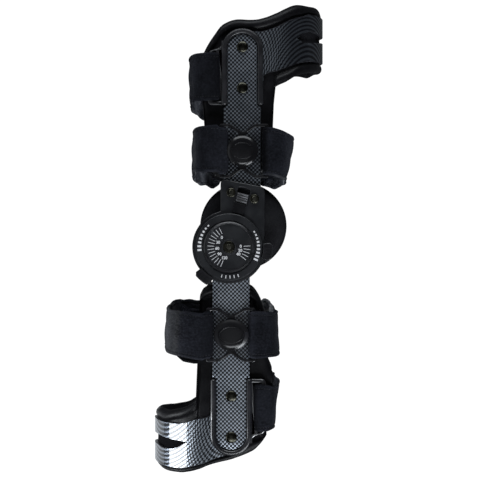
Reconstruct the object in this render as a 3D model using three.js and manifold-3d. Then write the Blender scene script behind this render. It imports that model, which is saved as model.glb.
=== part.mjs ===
// A hinged knee brace for the right leg, lying on its inner side.
// Millimetres, +Z up. X points to the front of the leg, Y up the leg and Z to its outer side.
// The origin is on the knee axis, at the outer face of the inner hinge, which lies on the table.
import * as THREE from 'three';
import { mergeVertices } from 'three/addons/utils/BufferGeometryUtils.js';
import Module from 'manifold-3d';

const wasm = await Module();
wasm.setup();

// Driving dimensions
const gap = 0.3;                 // clearance left between neighbouring pieces
const kneeHalfWidth = 47;        // from the mid-plane to the condyle pads
const thickness = {
  pad: 13, plate: 2, bar: 3.5, neck: 4, housing: 3.8, dial: 1.5,
  shell: 2.8, liner: 8, ear: 4, rim: 5.9, strap: 2.2, yoke: 2,
};
const bar = { halfWidth: 16.7, endHalfWidth: 13.5, shoulder: 2 };
const thigh = { barX: 12, endY: 178.2, buttonY: 86.2, barFoot: 34, yokeLeft: 15.7, yokeRight: 18.8 };
const calf = { barX: 2, endY: -169.3, buttonY: -78.8, yokeLeft: 17.6, yokeRight: 17 };
const hinge = {
  coverRadius: 33, housingRadius: 30.2, dialRadius: 22.8, headRadius: 27, boltRadius: 4.6, boltHead: 5.2,
  neckLeft: -7.6, neckRight: 32, neckTopLeft: 61.2, neckTopRight: 53.1, neckCorner: 5, neckTilt: 15,
};
const lock = { along: 45.5, width: 10.6, length: 8.2, travel: 4, ribs: 4, ribDepth: 0.9, clear: 0.3 };
const neckScrew = { along: 47.7, across: 10.8, headRadius: 4.2, shankRadius: 2.2, headHeight: 1.8 };
const stop = { inner: 30.6, outer: 39.4, halfAngle: 13, outerHalfAngle: 9, height: 4.5 };
const stopAngle = { flexion: 230, extension: -7 };
const condylePad = { x: 13, y: 19, radius: 39, edge: 4 };
const rivet = { radius: 5.1, shankRadius: 2.4, rise: 2.2, offsets: { end: 2, shoulder: -35 } };
const holder = {
  outer: 18.6, inner: 13.8, legLength: 50.5,
  earReach: 31, earBar: 4.5, earArm: 4, earMiddle: -24.7, earSlotHeight: 44,
};
const button = { radius: 14, postRadius: 5.5, flangeRadius: 9 };
const yoke = {
  halfHeight: 24.4, slotHalfHeight: 21.6, barWidth: 3, armStart: 11,
  apex: 16.5, web: 3.5, hubRadius: 10, hubHole: 5.9,
};

// Heights of the layers above the mid-plane, stacked outwards from the condyle pad
const padLayer = { from: kneeHalfWidth, to: kneeHalfWidth + thickness.pad };
const plateLayer = { from: padLayer.to + gap, to: padLayer.to + gap + thickness.plate };
const barLayer = { from: plateLayer.to + gap, to: plateLayer.to + gap + thickness.bar };
const neckLayer = { from: barLayer.to + gap, to: barLayer.to + gap + thickness.neck };
const housingTop = neckLayer.to + thickness.housing;
const dialLayer = { from: housingTop + gap, to: housingTop + gap + thickness.dial };
const halfWidth = dialLayer.to;
const shellOuter = barLayer.from - gap;
const linerOuter = shellOuter - thickness.shell - gap;
const yokeLayer = { from: barLayer.to + 3.4, to: barLayer.to + 3.4 + thickness.yoke };

// Wraps of the shells and liners round the leg: a flat flank beside the bar, then half a round.
// along is counted on the sheet from where it starts to bend, and low and high are its edges there.
const thighWrap = { forward: 1, bendX: 25, reach: 62.5 };
const calfWrap = { forward: -1, bendX: -8, reach: 62 };
const thighShellEdges = [
  { along: -29, low: 130, high: 184 },
  { along: -25, low: 128.5, high: 190 },
  { along: -13, low: 128.5, high: 195.5 },
  { along: 5, low: 128.5, high: 195 },
  { along: 6, low: 154, high: 195.2 },
  { along: 20, low: 159.5, high: 200 },
  { along: 32, low: 164, high: 206 },
  { along: 43, low: 167.5, high: 209.5 },
  { along: 60, low: 170, high: 213.5 },
  { along: 97, low: 171, high: 213 },
];
const calfShellEdges = [
  { along: -25, low: -174, high: -121 },
  { along: -22, low: -180, high: -119.5 },
  { along: -10, low: -186.5, high: -119.5 },
  { along: 7, low: -192.5, high: -119.5 },
  { along: 8, low: -193, high: -151 },
  { along: 22, low: -198, high: -155.5 },
  { along: 43, low: -202, high: -160.5 },
  { along: 65, low: -201, high: -160 },
  { along: 97, low: -198, high: -158 },
];
const thighLinerEdges = [
  { along: -49, low: 130, high: 174 },
  { along: -44, low: 74, high: 184 },
  { along: -38, low: 66, high: 193 },
  { along: -31, low: 65, high: 201 },
  { along: -13, low: 65, high: 206 },
  { along: 0, low: 65, high: 204 },
  { along: 12, low: 66, high: 206 },
  { along: 17, low: 74, high: 208.5 },
  { along: 20, low: 145, high: 210.5 },
  { along: 28, low: 150, high: 215 },
  { along: 41, low: 156, high: 219.5 },
  { along: 62, low: 160, high: 221 },
  { along: 93, low: 160, high: 221.5 },
];
const calfLinerEdges = [
  { along: -42, low: -170, high: -62 },
  { along: -37, low: -177, high: -48 },
  { along: -29, low: -185, high: -38 },
  { along: -13, low: -191, high: -33.5 },
  { along: 0, low: -194.5, high: -33.5 },
  { along: 14, low: -199, high: -36 },
  { along: 19, low: -201, high: -44 },
  { along: 21, low: -201.5, high: -135 },
  { along: 28, low: -203.5, high: -142 },
  { along: 41, low: -206, high: -147.5 },
  { along: 62, low: -205, high: -149.5 },
  { along: 93, low: -201.5, high: -150 },
];
const vents = {
  thigh: { y: 191.5, halfHeight: 5.2, halfLength: 49 },
  calf: { y: -177.5, halfHeight: 6, halfLength: 54 },
};

// Straps: fold is the middle of the fold nearest the bar, reach the farthest point round the leg.
// under and over are the heights of the folded-back tail and of the strap above its slot bar.
const earStrap = { under: shellOuter - 1.3, over: shellOuter + 6.5, tail: 13 };
const yokeStrap = { under: barLayer.to + 1.5, over: barLayer.to + 7.3, tail: 16 };
const thighEarFold = thigh.barX - holder.outer - 2.6;
const calfEarFold = calf.barX + holder.outer + 2.6;
const straps = [
  { name: 'thigh_strap_upper', forward: -1, fold: thighEarFold, reach: -36.6, anchor: earStrap,
    low: 132, high: 175, farLow: 131, farHigh: 173 },
  { name: 'thigh_strap_back', forward: -1, fold: thigh.barX - thigh.yokeLeft, reach: -35.5, anchor: yokeStrap,
    low: 65.2, high: 107.4, farLow: 69, farHigh: 110 },
  { name: 'thigh_strap_front', forward: 1, fold: thigh.barX + thigh.yokeRight, reach: 57.5, anchor: yokeStrap,
    low: 65, high: 107.4, farLow: 62, farHigh: 103 },
  { name: 'calf_strap_back', forward: -1, fold: calf.barX - calf.yokeLeft, reach: -59.5, anchor: yokeStrap,
    low: -100, high: -57.6, farLow: -96, farHigh: -55 },
  { name: 'calf_strap_front', forward: 1, fold: calf.barX + calf.yokeRight, reach: 45.5, anchor: yokeStrap,
    low: -100, high: -57.6, farLow: -99.5, farHigh: -59.5 },
  { name: 'calf_strap_lower', forward: 1, fold: calfEarFold, reach: 45, anchor: earStrap,
    low: -166, high: -123.5, farLow: -168, farHigh: -128 },
];
const strapSquareness = 0.6;     // 1 bends like an ellipse, less is boxier
const strapSteps = 8;            // sections from the slot bar to the farthest point
const bendSteps = 9;             // sections round half a shell
const linerEdge = 2.6;           // rounding of a liner's padded rim

// Finishes
const finish = (color, roughness, metalness = 0) =>
  new THREE.MeshStandardMaterial({ color, roughness, metalness });
const wovenFilm = finish(0x5b6068, 0.25, 0.3);
const blackPlastic = finish(0x1c1d20, 0.45);
const hingePlastic = finish(0x212225, 0.55);
const darkMetal = finish(0x3a3830, 0.35, 0.9);
const plateMetal = finish(0x8a8c90, 0.4, 0.9);
const strapCloth = finish(0x15161b, 0.95);
const linerFoam = finish(0x0e0e10, 0.9);

// Solids

function solidOf(geometry) {
  const bare = geometry.clone();
  bare.deleteAttribute('normal');
  bare.deleteAttribute('uv');
  const merged = mergeVertices(bare, 1e-3);
  const vertProperties = merged.attributes.position.array;
  const triVerts = [];
  for (let i = 0; i < merged.index.count; i += 3) {
    const [a, b, c] = [0, 1, 2].map((k) => merged.index.getX(i + k));
    if (a !== b && b !== c && c !== a) triVerts.push(a, b, c);
  }
  return new wasm.Manifold(new wasm.Mesh({ numProp: 3, vertProperties, triVerts: new Uint32Array(triVerts) }));
}

function geometryOf(solid) {
  const mesh = solid.getMesh();
  const geometry = new THREE.BufferGeometry();
  geometry.setAttribute('position', new THREE.BufferAttribute(mesh.vertProperties.slice(), 3));
  geometry.setIndex(new THREE.BufferAttribute(mesh.triVerts.slice(), 1));
  geometry.computeVertexNormals();
  return geometry;
}

function joined(...geometries) {
  return geometryOf(geometries.map(solidOf).reduce((sum, one) => sum.add(one)));
}

function cut(geometry, ...tools) {
  return geometryOf(tools.map(solidOf).reduce((rest, tool) => rest.subtract(tool), solidOf(geometry)));
}

function extruded(shape, layer, curveSegments = 8) {
  const geometry = new THREE.ExtrudeGeometry(shape, { depth: layer.to - layer.from, bevelEnabled: false, curveSegments });
  return geometry.translate(0, 0, layer.from);
}

// A turned piece with its axis along Z, from rows of radius and height that run up its outside
function turned(profile, sides) {
  const points = profile.map(([radius, height]) => new THREE.Vector2(radius, height));
  return new THREE.LatheGeometry(points, sides).rotateX(Math.PI / 2);
}

function rod(radius, layer, x, y, sides = 8) {
  const height = layer.to - layer.from;
  const geometry = new THREE.CylinderGeometry(radius, radius, height, sides).rotateX(Math.PI / 2);
  return geometry.translate(x, y, layer.from + height / 2);
}

// A closed skin through rings of points, with a flat cap on each end
function lofted(rings) {
  const count = rings[0].length;
  const index = [];
  for (let r = 0; r + 1 < rings.length; r++) {
    for (let k = 0; k < count; k++) {
      const [a, b] = [r * count + k, r * count + (k + 1) % count];
      index.push(a, b, b + count, a, b + count, a + count);
    }
  }
  const last = (rings.length - 1) * count;
  for (let k = 1; k + 1 < count; k++) {
    index.push(0, k + 1, k, last, last + k, last + k + 1);
  }
  const geometry = new THREE.BufferGeometry();
  geometry.setFromPoints(rings.flat());
  geometry.setIndex(index);
  geometry.computeVertexNormals();
  return geometry;
}

// Sheets: stations hold a point of the outer face in the x-z plane, its outward normal and its y range

function sheet(stations, wall, edge) {
  const rings = stations.map(({ x, z, nx, nz, low, high }) => {
    const at = (depth, y) => new THREE.Vector3(x - nx * depth, y, z - nz * depth);
    if (!edge) return [at(0, low), at(0, high), at(wall, high), at(wall, low)];
    return [
      at(0, low + edge), at(0, high - edge), at(edge, high), at(wall - edge, high),
      at(wall, high - edge), at(wall, low + edge), at(wall - edge, low), at(edge, low),
    ];
  });
  return lofted(rings);
}

function edgesAt(rows, along) {
  const next = Math.max(1, rows.findIndex((row) => row.along >= along));
  const [a, b] = [rows[next - 1], rows[next]];
  const share = (along - a.along) / (b.along - a.along);
  return {
    low: THREE.MathUtils.lerp(a.low, b.low, share),
    high: THREE.MathUtils.lerp(a.high, b.high, share),
  };
}

// A sheet bent round one side of the leg, from one flank over the front or back to the other flank
function wrapped(wrap, outer, wall, rows, edge = 0) {
  const radius = wrap.reach - (shellOuter - outer);
  const end = rows[rows.length - 1].along;
  const flank = rows.filter((row) => row.along < 0).map((row) => row.along);
  const bends = rows.filter((row) => row.along >= 0).map((row) => row.along);
  for (let i = 0; i <= bendSteps; i++) bends.push((end * i) / bendSteps);
  const steps = [...new Set([...flank, ...bends])].sort((a, b) => a - b);
  const half = steps.map((along) => {
    const angle = (Math.max(0, along) / end) * (Math.PI / 2);
    const x = wrap.bendX + wrap.forward * (Math.min(0, along) + radius * Math.sin(angle));
    return {
      x, z: outer * Math.cos(angle), nx: wrap.forward * Math.sin(angle), nz: Math.cos(angle), ...edgesAt(rows, along),
    };
  });
  const mirrored = half.slice(0, -1).reverse().map((s) => ({ ...s, z: -s.z, nz: -s.nz }));
  const stations = [...half, ...mirrored];
  return sheet(wrap.forward < 0 ? stations : stations.reverse(), wall, edge);
}

function ventTool({ y, halfHeight, halfLength }, wrap) {
  const outline = new THREE.Shape();
  outline.moveTo(-halfLength, y);
  outline.quadraticCurveTo(-halfLength * 0.8, y + halfHeight, 0, y + halfHeight);
  outline.quadraticCurveTo(halfLength * 0.8, y + halfHeight, halfLength, y);
  outline.quadraticCurveTo(halfLength * 0.8, y - halfHeight, 0, y - halfHeight);
  outline.quadraticCurveTo(-halfLength * 0.8, y - halfHeight, -halfLength, y);
  const length = 2 * wrap.reach;
  const geometry = new THREE.ExtrudeGeometry(outline, { depth: length, bevelEnabled: false, curveSegments: 6 });
  return geometry.rotateY((wrap.forward * Math.PI) / 2).translate(wrap.bendX + wrap.forward * 6, 0, 0);
}

// A strap that folds round a slot bar on each flank and bridges the leg between them
function strap({ forward, fold, reach, anchor, low, high, farLow, farHigh }) {
  const rise = (anchor.over - anchor.under) / 2;
  const middle = (anchor.over + anchor.under) / 2;
  const start = fold + forward * rise;
  const route = [{ x: start + forward * anchor.tail, z: anchor.under, far: 0 }, { x: start, z: anchor.under, far: 0 }];
  for (const turn of [-45, 0, 45]) {
    const angle = THREE.MathUtils.degToRad(turn);
    route.push({ x: start - forward * rise * Math.cos(angle), z: middle + rise * Math.sin(angle), far: 0 });
  }
  for (let i = 0; i <= strapSteps; i++) {
    const angle = ((i / strapSteps) ** 1.15) * (Math.PI / 2);
    const far = Math.sin(angle) ** strapSquareness;
    route.push({ x: start + (reach - start) * far, z: anchor.over * Math.cos(angle) ** strapSquareness, far });
  }
  const farthest = route[route.length - 1];
  farthest.z = 0;
  const line = [...route, ...route.slice(0, -1).reverse().map((p) => ({ ...p, z: -p.z }))];
  const stations = line.map((p, i) => {
    const [before, after] = [line[Math.max(0, i - 1)], line[Math.min(line.length - 1, i + 1)]];
    const along = new THREE.Vector2(after.x - before.x, after.z - before.z).normalize();
    const [nx, nz] = [-along.y * forward, along.x * forward];
    const half = thickness.strap / 2;
    return {
      x: p.x + nx * half, z: p.z + nz * half, nx, nz,
      low: THREE.MathUtils.lerp(low, farLow, p.far), high: THREE.MathUtils.lerp(high, farHigh, p.far),
    };
  });
  return sheet(forward < 0 ? stations : stations.reverse(), thickness.strap);
}

// Flat metal and plastic pieces of one flank

function barOutline(x, footY, end) {
  const up = Math.sign(end - footY);
  const shoulderY = end - up * holder.legLength;
  const outline = new THREE.Shape();
  outline.moveTo(x + bar.halfWidth, footY);
  outline.lineTo(x + bar.halfWidth, shoulderY - up * bar.shoulder);
  outline.lineTo(x + bar.endHalfWidth, shoulderY);
  outline.lineTo(x + bar.endHalfWidth, end);
  outline.absarc(x, end, bar.endHalfWidth, 0, up * Math.PI, up < 0);
  outline.lineTo(x - bar.endHalfWidth, shoulderY);
  outline.lineTo(x - bar.halfWidth, shoulderY - up * bar.shoulder);
  outline.lineTo(x - bar.halfWidth, footY);
  return outline;
}

function rivetHoles(x, endY, up) {
  return Object.values(rivet.offsets).map((offset) =>
    rod(rivet.shankRadius + gap, { from: 0, to: halfWidth }, x, endY + up * offset));
}

function thighBar() {
  const blank = extruded(barOutline(thigh.barX, thigh.barFoot, thigh.endY), barLayer);
  return cut(blank, ...rivetHoles(thigh.barX, thigh.endY, 1), ...neckScrewHoles());
}

function calfBar() {
  const blank = extruded(barOutline(calf.barX, -hinge.headRadius / 2, calf.endY), barLayer);
  const head = rod(hinge.headRadius, barLayer, 0, 0, 26);
  return cut(joined(blank, head), ...rivetHoles(calf.barX, calf.endY, -1), boltHole());
}

function boltHole() {
  return rod(hinge.boltRadius + gap + 0.1, { from: 0, to: halfWidth }, 0, 0, 14);
}

function neckScrewHoles() {
  const tilt = THREE.MathUtils.degToRad(-hinge.neckTilt);
  return [-1, 1].map((side) =>
    rod(neckScrew.shankRadius + gap, { from: 0, to: halfWidth }, side * neckScrew.across, neckScrew.along).rotateZ(tilt));
}

// The hinge's round body with the neck that runs up over the thigh bar
function hingeOutline(inset) {
  const radius = hinge.coverRadius - inset;
  const [left, right] = [hinge.neckLeft + inset, hinge.neckRight - inset];
  const [topLeft, topRight] = [hinge.neckTopLeft - inset, hinge.neckTopRight - inset];
  const corner = hinge.neckCorner;
  const outline = new THREE.Shape();
  outline.moveTo(right, Math.sqrt(radius ** 2 - right ** 2));
  outline.lineTo(right, topRight - corner);
  outline.quadraticCurveTo(right, topRight, right - corner, topRight + corner * 0.2);
  outline.lineTo(left + corner, topLeft - corner * 0.2);
  outline.quadraticCurveTo(left, topLeft, left, topLeft - corner);
  outline.lineTo(left, Math.sqrt(radius ** 2 - left ** 2));
  outline.absarc(0, 0, radius, Math.acos(left / radius), 2 * Math.PI + Math.acos(right / radius), false);
  return outline;
}

function lockSlot() {
  const half = lock.width / 2 + lock.clear;
  const foot = lock.along - lock.length / 2 - lock.clear;
  const crown = lock.along + lock.length / 2 + lock.travel + lock.clear;
  const outline = new THREE.Shape();
  outline.moveTo(-half, foot);
  outline.lineTo(half, foot);
  outline.lineTo(half, crown);
  outline.quadraticCurveTo(0, crown + 2, -half, crown);
  const slot = extruded(outline, { from: neckLayer.from - 1, to: neckLayer.to + 1 }, 4);
  return slot.rotateZ(THREE.MathUtils.degToRad(-hinge.neckTilt));
}

function hingeCover() {
  const base = extruded(hingeOutline(0), neckLayer, 12);
  const top = housingTop;
  const housing = turned([
    [0, neckLayer.from + 1], [hinge.housingRadius, neckLayer.from + 1], [hinge.housingRadius, top - 1],
    [hinge.housingRadius - 1, top], [0, top],
  ], 28);
  return cut(joined(base, housing), lockSlot(), boltHole(), ...neckScrewHoles());
}

function backPlate() {
  return cut(extruded(hingeOutline(1), plateLayer, 8), boltHole(), ...neckScrewHoles());
}

function dial() {
  const bore = hinge.boltHead + 0.4;
  return turned([
    [bore, dialLayer.from], [hinge.dialRadius, dialLayer.from], [hinge.dialRadius, dialLayer.to - 0.8],
    [hinge.dialRadius - 0.8, dialLayer.to], [bore, dialLayer.to], [bore, dialLayer.from],
  ], 26);
}

function pivotBolt() {
  return turned([
    [0, plateLayer.from], [hinge.boltRadius, plateLayer.from], [hinge.boltRadius, dialLayer.from],
    [hinge.boltHead, dialLayer.from], [hinge.boltHead, dialLayer.to], [0, dialLayer.to],
  ], 14);
}

function neckScrewPiece() {
  const seat = neckLayer.to + gap;
  return turned([
    [0, plateLayer.from], [neckScrew.shankRadius, plateLayer.from], [neckScrew.shankRadius, seat],
    [neckScrew.headRadius, seat], [neckScrew.headRadius, seat + neckScrew.headHeight - 0.6],
    [neckScrew.headRadius - 0.8, seat + neckScrew.headHeight], [0, seat + neckScrew.headHeight],
  ], 10);
}

// The lock's thumb slide, with cross ribs on its top
function lockSlide() {
  const pitch = lock.length / lock.ribs;
  const top = neckLayer.to + 1.6;
  const side = new THREE.Shape();
  side.moveTo(-lock.length / 2, neckLayer.from + gap);
  side.lineTo(lock.length / 2, neckLayer.from + gap);
  for (let i = lock.ribs; i > 0; i--) {
    const end = -lock.length / 2 + i * pitch;
    side.lineTo(end, top);
    side.lineTo(end - pitch * 0.5, top);
    side.lineTo(end - pitch * 0.65, top - lock.ribDepth);
    side.lineTo(end - pitch, top - lock.ribDepth);
  }
  const block = new THREE.ExtrudeGeometry(side, { depth: lock.width, bevelEnabled: false }).translate(0, 0, -lock.width / 2);
  const turn = new THREE.Matrix4().makeBasis(new THREE.Vector3(0, 1, 0), new THREE.Vector3(0, 0, 1), new THREE.Vector3(1, 0, 0));
  return block.applyMatrix4(turn);
}

// A thumb stop that is set round the rim of the housing
function stopKnob() {
  const half = THREE.MathUtils.degToRad(stop.halfAngle);
  const outerHalf = THREE.MathUtils.degToRad(stop.outerHalfAngle);
  const outline = new THREE.Shape();
  outline.absarc(0, 0, stop.outer, -outerHalf, outerHalf, false);
  outline.lineTo(Math.cos(half) * (stop.outer - 2.5), Math.sin(half) * (stop.outer - 2.5));
  outline.absarc(0, 0, stop.inner, half, -half, true);
  outline.lineTo(Math.cos(half) * (stop.outer - 2.5), -Math.sin(half) * (stop.outer - 2.5));
  return extruded(outline, { from: neckLayer.to + gap, to: neckLayer.to + gap + stop.height }, 4);
}

function condylePadPiece() {
  const { radius, edge } = condylePad;
  const { from, to } = padLayer;
  return turned([
    [0, from], [radius - edge, from], [radius - edge * 0.3, from + edge * 0.3], [radius, from + edge],
    [radius, to - edge], [radius - edge * 0.3, to - edge * 0.3], [radius - edge, to], [0, to],
  ], 24);
}

function rivetPiece() {
  const foot = shellOuter - thickness.shell;
  const seat = barLayer.to + gap;
  return turned([
    [0, foot], [rivet.shankRadius, foot], [rivet.shankRadius, seat], [rivet.radius, seat],
    [rivet.radius * 0.75, seat + rivet.rise * 0.7], [0, seat + rivet.rise],
  ], 9);
}

// The moulded rim that seats a bar's round end, with a slotted ear for a strap on one side.
// Its own origin is the centre of the bar's end.
function barHolder() {
  const { outer, inner, legLength, earReach, earBar, earArm, earMiddle, earSlotHeight } = holder;
  const rim = new THREE.Shape();
  rim.moveTo(outer, -legLength);
  rim.lineTo(outer, 0);
  rim.absarc(0, 0, outer, 0, Math.PI, false);
  rim.lineTo(-outer, -legLength);
  rim.lineTo(-inner, -legLength);
  rim.lineTo(-inner, 0);
  rim.absarc(0, 0, inner, Math.PI, 0, true);
  rim.lineTo(inner, -legLength);
  const ear = new THREE.Shape();
  const [top, foot] = [earMiddle + earSlotHeight / 2, earMiddle - earSlotHeight / 2];
  const corner = earArm * 1.2;
  ear.moveTo(-outer + 1, foot - earArm);
  ear.lineTo(-outer + 1, top + earArm);
  ear.lineTo(-earReach + corner, top + earArm);
  ear.quadraticCurveTo(-earReach, top + earArm, -earReach, top + earArm - corner);
  ear.lineTo(-earReach, foot - earArm + corner);
  ear.quadraticCurveTo(-earReach, foot - earArm, -earReach + corner, foot - earArm);
  const slot = new THREE.Path();
  slot.moveTo(-earReach + earBar, foot);
  slot.lineTo(-earReach + earBar, top);
  slot.lineTo(-outer, top);
  slot.lineTo(-outer, foot);
  ear.holes.push(slot);
  return joined(
    extruded(rim, { from: barLayer.from, to: barLayer.from + thickness.rim }, 7),
    extruded(ear, { from: barLayer.from, to: barLayer.from + thickness.ear }, 4),
  );
}

// The swivelling bow-tie loop that two straps fold round, with its own origin at the button
function strapYoke(left, right) {
  const { halfHeight, slotHalfHeight, barWidth, armStart, apex, web, hubRadius, hubHole } = yoke;
  const reach = { left: -(left + 1.9 + barWidth), right: right + 1.9 + barWidth };
  const plate = new THREE.Shape();
  plate.moveTo(reach.left, -halfHeight);
  plate.lineTo(-armStart, -halfHeight);
  plate.lineTo(0, -apex);
  plate.lineTo(armStart, -halfHeight);
  plate.lineTo(reach.right, -halfHeight);
  plate.lineTo(reach.right, halfHeight);
  plate.lineTo(armStart, halfHeight);
  plate.lineTo(0, apex);
  plate.lineTo(-armStart, halfHeight);
  plate.lineTo(reach.left, halfHeight);
  const hubTop = Math.sqrt(hubRadius ** 2 - web ** 2);
  const hubAngle = Math.acos(web / hubRadius);
  for (const side of [-1, 1]) {
    const far = (side < 0 ? reach.left : reach.right) - side * barWidth;
    const hole = new THREE.Path();
    hole.moveTo(far, -slotHalfHeight);
    hole.lineTo(side * (armStart + 0.8), -slotHalfHeight);
    hole.lineTo(side * web, -apex + 0.6);
    hole.lineTo(side * web, -hubTop);
    const from = side < 0 ? Math.PI + hubAngle : -hubAngle;
    const to = side < 0 ? Math.PI - hubAngle : hubAngle;
    hole.absarc(0, 0, hubRadius, from, to, side < 0);
    hole.lineTo(side * web, apex - 0.6);
    hole.lineTo(side * (armStart + 0.8), slotHalfHeight);
    hole.lineTo(far, slotHalfHeight);
    plate.holes.push(hole);
  }
  const eye = new THREE.Path();
  eye.absarc(0, 0, hubHole, 0, 2 * Math.PI, false);
  plate.holes.push(eye);
  return extruded(plate, yokeLayer, 5);
}

function strapButton() {
  const { radius, postRadius, flangeRadius } = button;
  const seat = barLayer.to + gap;
  const under = yokeLayer.to + gap;
  return turned([
    [0, seat], [flangeRadius, seat], [flangeRadius, yokeLayer.from - gap], [postRadius, yokeLayer.from - gap],
    [postRadius, under], [radius, under], [radius, halfWidth - 1.4], [radius - 2.2, halfWidth], [0, halfWidth],
  ], 16);
}

// Assembly

function mesh(name, geometry, material, { x = 0, y = 0, turn = 0 } = {}) {
  const made = new THREE.Mesh(geometry, material);
  made.name = name;
  made.position.set(x, y, 0);
  made.rotation.z = THREE.MathUtils.degToRad(turn);
  return made;
}

function barEnd(part, side, end, turn) {
  const group = new THREE.Group();
  group.position.set(end.barX, end.endY, 0);
  group.rotation.z = turn;
  group.add(mesh(`${part}_holder_${side}`, barHolder(), blackPlastic));
  for (const [place, offset] of Object.entries(rivet.offsets)) {
    group.add(mesh(`${part}_rivet_${place}_${side}`, rivetPiece(), darkMetal, { y: offset }));
  }
  return group;
}

function strapAnchor(part, side, end) {
  const at = { x: end.barX, y: end.buttonY };
  return [
    mesh(`${part}_yoke_${side}`, strapYoke(end.yokeLeft, end.yokeRight), blackPlastic, at),
    mesh(`${part}_button_${side}`, strapButton(), blackPlastic, at),
  ];
}

function neck(side) {
  const group = new THREE.Group();
  group.rotation.z = THREE.MathUtils.degToRad(-hinge.neckTilt);
  group.add(mesh(`lock_slide_${side}`, lockSlide(), hingePlastic, { y: lock.along }));
  for (const [place, sign] of [['back', -1], ['front', 1]]) {
    const at = { x: sign * neckScrew.across, y: neckScrew.along };
    group.add(mesh(`neck_screw_${place}_${side}`, neckScrewPiece(), darkMetal, at));
  }
  return group;
}

function flank(side, mirror) {
  const group = new THREE.Group();
  group.scale.z = mirror;
  group.add(
    mesh(`thigh_bar_${side}`, thighBar(), wovenFilm),
    mesh(`calf_bar_${side}`, calfBar(), wovenFilm),
    barEnd('thigh', side, thigh, 0),
    barEnd('calf', side, calf, Math.PI),
    ...strapAnchor('thigh', side, thigh),
    ...strapAnchor('calf', side, calf),
    mesh(`condyle_pad_${side}`, condylePadPiece(), linerFoam, condylePad),
    mesh(`hinge_plate_${side}`, backPlate(), plateMetal),
    mesh(`hinge_cover_${side}`, hingeCover(), hingePlastic),
    mesh(`hinge_dial_${side}`, dial(), hingePlastic),
    mesh(`pivot_bolt_${side}`, pivotBolt(), darkMetal),
    mesh(`flexion_stop_${side}`, stopKnob(), hingePlastic, { turn: stopAngle.flexion }),
    mesh(`extension_stop_${side}`, stopKnob(), hingePlastic, { turn: stopAngle.extension }),
    neck(side),
  );
  return group;
}

function shell(wrap, rows, vent, holes) {
  const wall = wrapped(wrap, shellOuter, thickness.shell, rows);
  const through = { from: -halfWidth, to: halfWidth };
  const drilled = holes.map(([x, y]) => rod(rivet.shankRadius + gap, through, x, y));
  return cut(wall, ventTool(vent, wrap), ...drilled);
}

function rivetPlaces({ barX, endY }, up) {
  return Object.values(rivet.offsets).map((offset) => [barX, endY + up * offset]);
}

const brace = new THREE.Group();
const midPlane = new THREE.Group();
midPlane.position.z = halfWidth;
brace.add(midPlane);
midPlane.add(
  flank('outer', 1),
  flank('inner', -1),
  mesh('thigh_shell', shell(thighWrap, thighShellEdges, vents.thigh, rivetPlaces(thigh, 1)), wovenFilm),
  mesh('calf_shell', shell(calfWrap, calfShellEdges, vents.calf, rivetPlaces(calf, -1)), wovenFilm),
  mesh('thigh_liner', wrapped(thighWrap, linerOuter, thickness.liner, thighLinerEdges, linerEdge), linerFoam),
  mesh('calf_liner', wrapped(calfWrap, linerOuter, thickness.liner, calfLinerEdges, linerEdge), linerFoam),
  ...straps.map((row) => mesh(row.name, strap(row), strapCloth)),
);

export default brace;
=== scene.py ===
import math

import bmesh
import bpy
import numpy as np
from mathutils import Matrix, Vector


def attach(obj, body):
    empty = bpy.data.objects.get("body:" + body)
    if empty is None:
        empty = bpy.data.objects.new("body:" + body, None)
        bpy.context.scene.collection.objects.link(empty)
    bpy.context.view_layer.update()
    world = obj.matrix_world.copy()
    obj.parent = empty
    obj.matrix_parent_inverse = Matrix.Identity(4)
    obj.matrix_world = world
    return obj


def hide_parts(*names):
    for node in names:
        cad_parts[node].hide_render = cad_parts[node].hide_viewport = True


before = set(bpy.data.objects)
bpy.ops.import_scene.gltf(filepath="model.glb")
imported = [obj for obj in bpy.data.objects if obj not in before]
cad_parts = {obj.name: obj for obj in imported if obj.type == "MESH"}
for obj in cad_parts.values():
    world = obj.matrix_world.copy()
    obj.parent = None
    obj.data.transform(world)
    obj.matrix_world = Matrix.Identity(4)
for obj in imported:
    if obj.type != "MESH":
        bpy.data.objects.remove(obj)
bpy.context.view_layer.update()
scene = bpy.context.scene

# Lengths of the pieces are millimetres, those of the studio metres.
# w is the distance from the leg's middle plane towards either flank.
midPlane = 76.0
flanks = {"outer": 1, "inner": -1}
bodies = {"thigh": "upper_frame", "calf": "lower_frame"}
layers = {"plate": (60.3, 62.3), "bar": (62.6, 66.1), "neck": (66.4, 70.4), "yoke": (69.5, 71.5),
          "housing": 74.2, "dial": (74.5, 76.0)}


def newObject(name, data):
    made = bpy.data.objects.new(name, data)
    scene.collection.objects.link(made)
    return made


# Studio: pale floor, soft lights, camera straight above
studio = {
    "eye": (0.0099, 0.0063, 1.642), "lens": 125.0, "sensor": 36.0, "sky": 0.045, "tint": (0.91, 0.955, 1.0),
    "floorHalf": 2.5, "floorLevel": -0.0006,
    "paper": {"Base Color": (0.07, 0.07, 0.07, 1), "Roughness": 0.9, "Specular IOR Level": 0.1,
              "Emission Color": (1, 1, 1, 1)},
    # place, aim, size and watts of each light
    "lights": {
        "leftCard": ((-0.265, -0.225, 0.1625), (-0.05, -0.215, 0.128), (0.10, 0.176), 0.76),
        "leftBoard": ((-0.17, -0.205, 0.004), (-0.165, -0.205, 1.0), (0.14, 0.20), 0.06),
        "leftBox": ((-0.80, 0.05, 0.30), (0.0, 0.0, 0.10), (0.9, 0.9), 2.4),
        "topBox": ((0.02, 1.05, 0.58), (0.0, 0.08, 0.10), (1.3, 0.4), 15.5),
        "lowRightBox": ((0.52, -0.80, 0.55), (0.0, -0.10, 0.10), (0.45, 0.35), 9.5),
        "lowBox": ((0.05, -0.85, 1.05), (0.0, -0.06, 0.10), (0.6, 0.35), 9.0),
        "overBox": ((0.0, -0.27, 1.50), (0.0, -0.27, 0.0), (0.5, 0.66), 0.57),
    },
}


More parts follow.
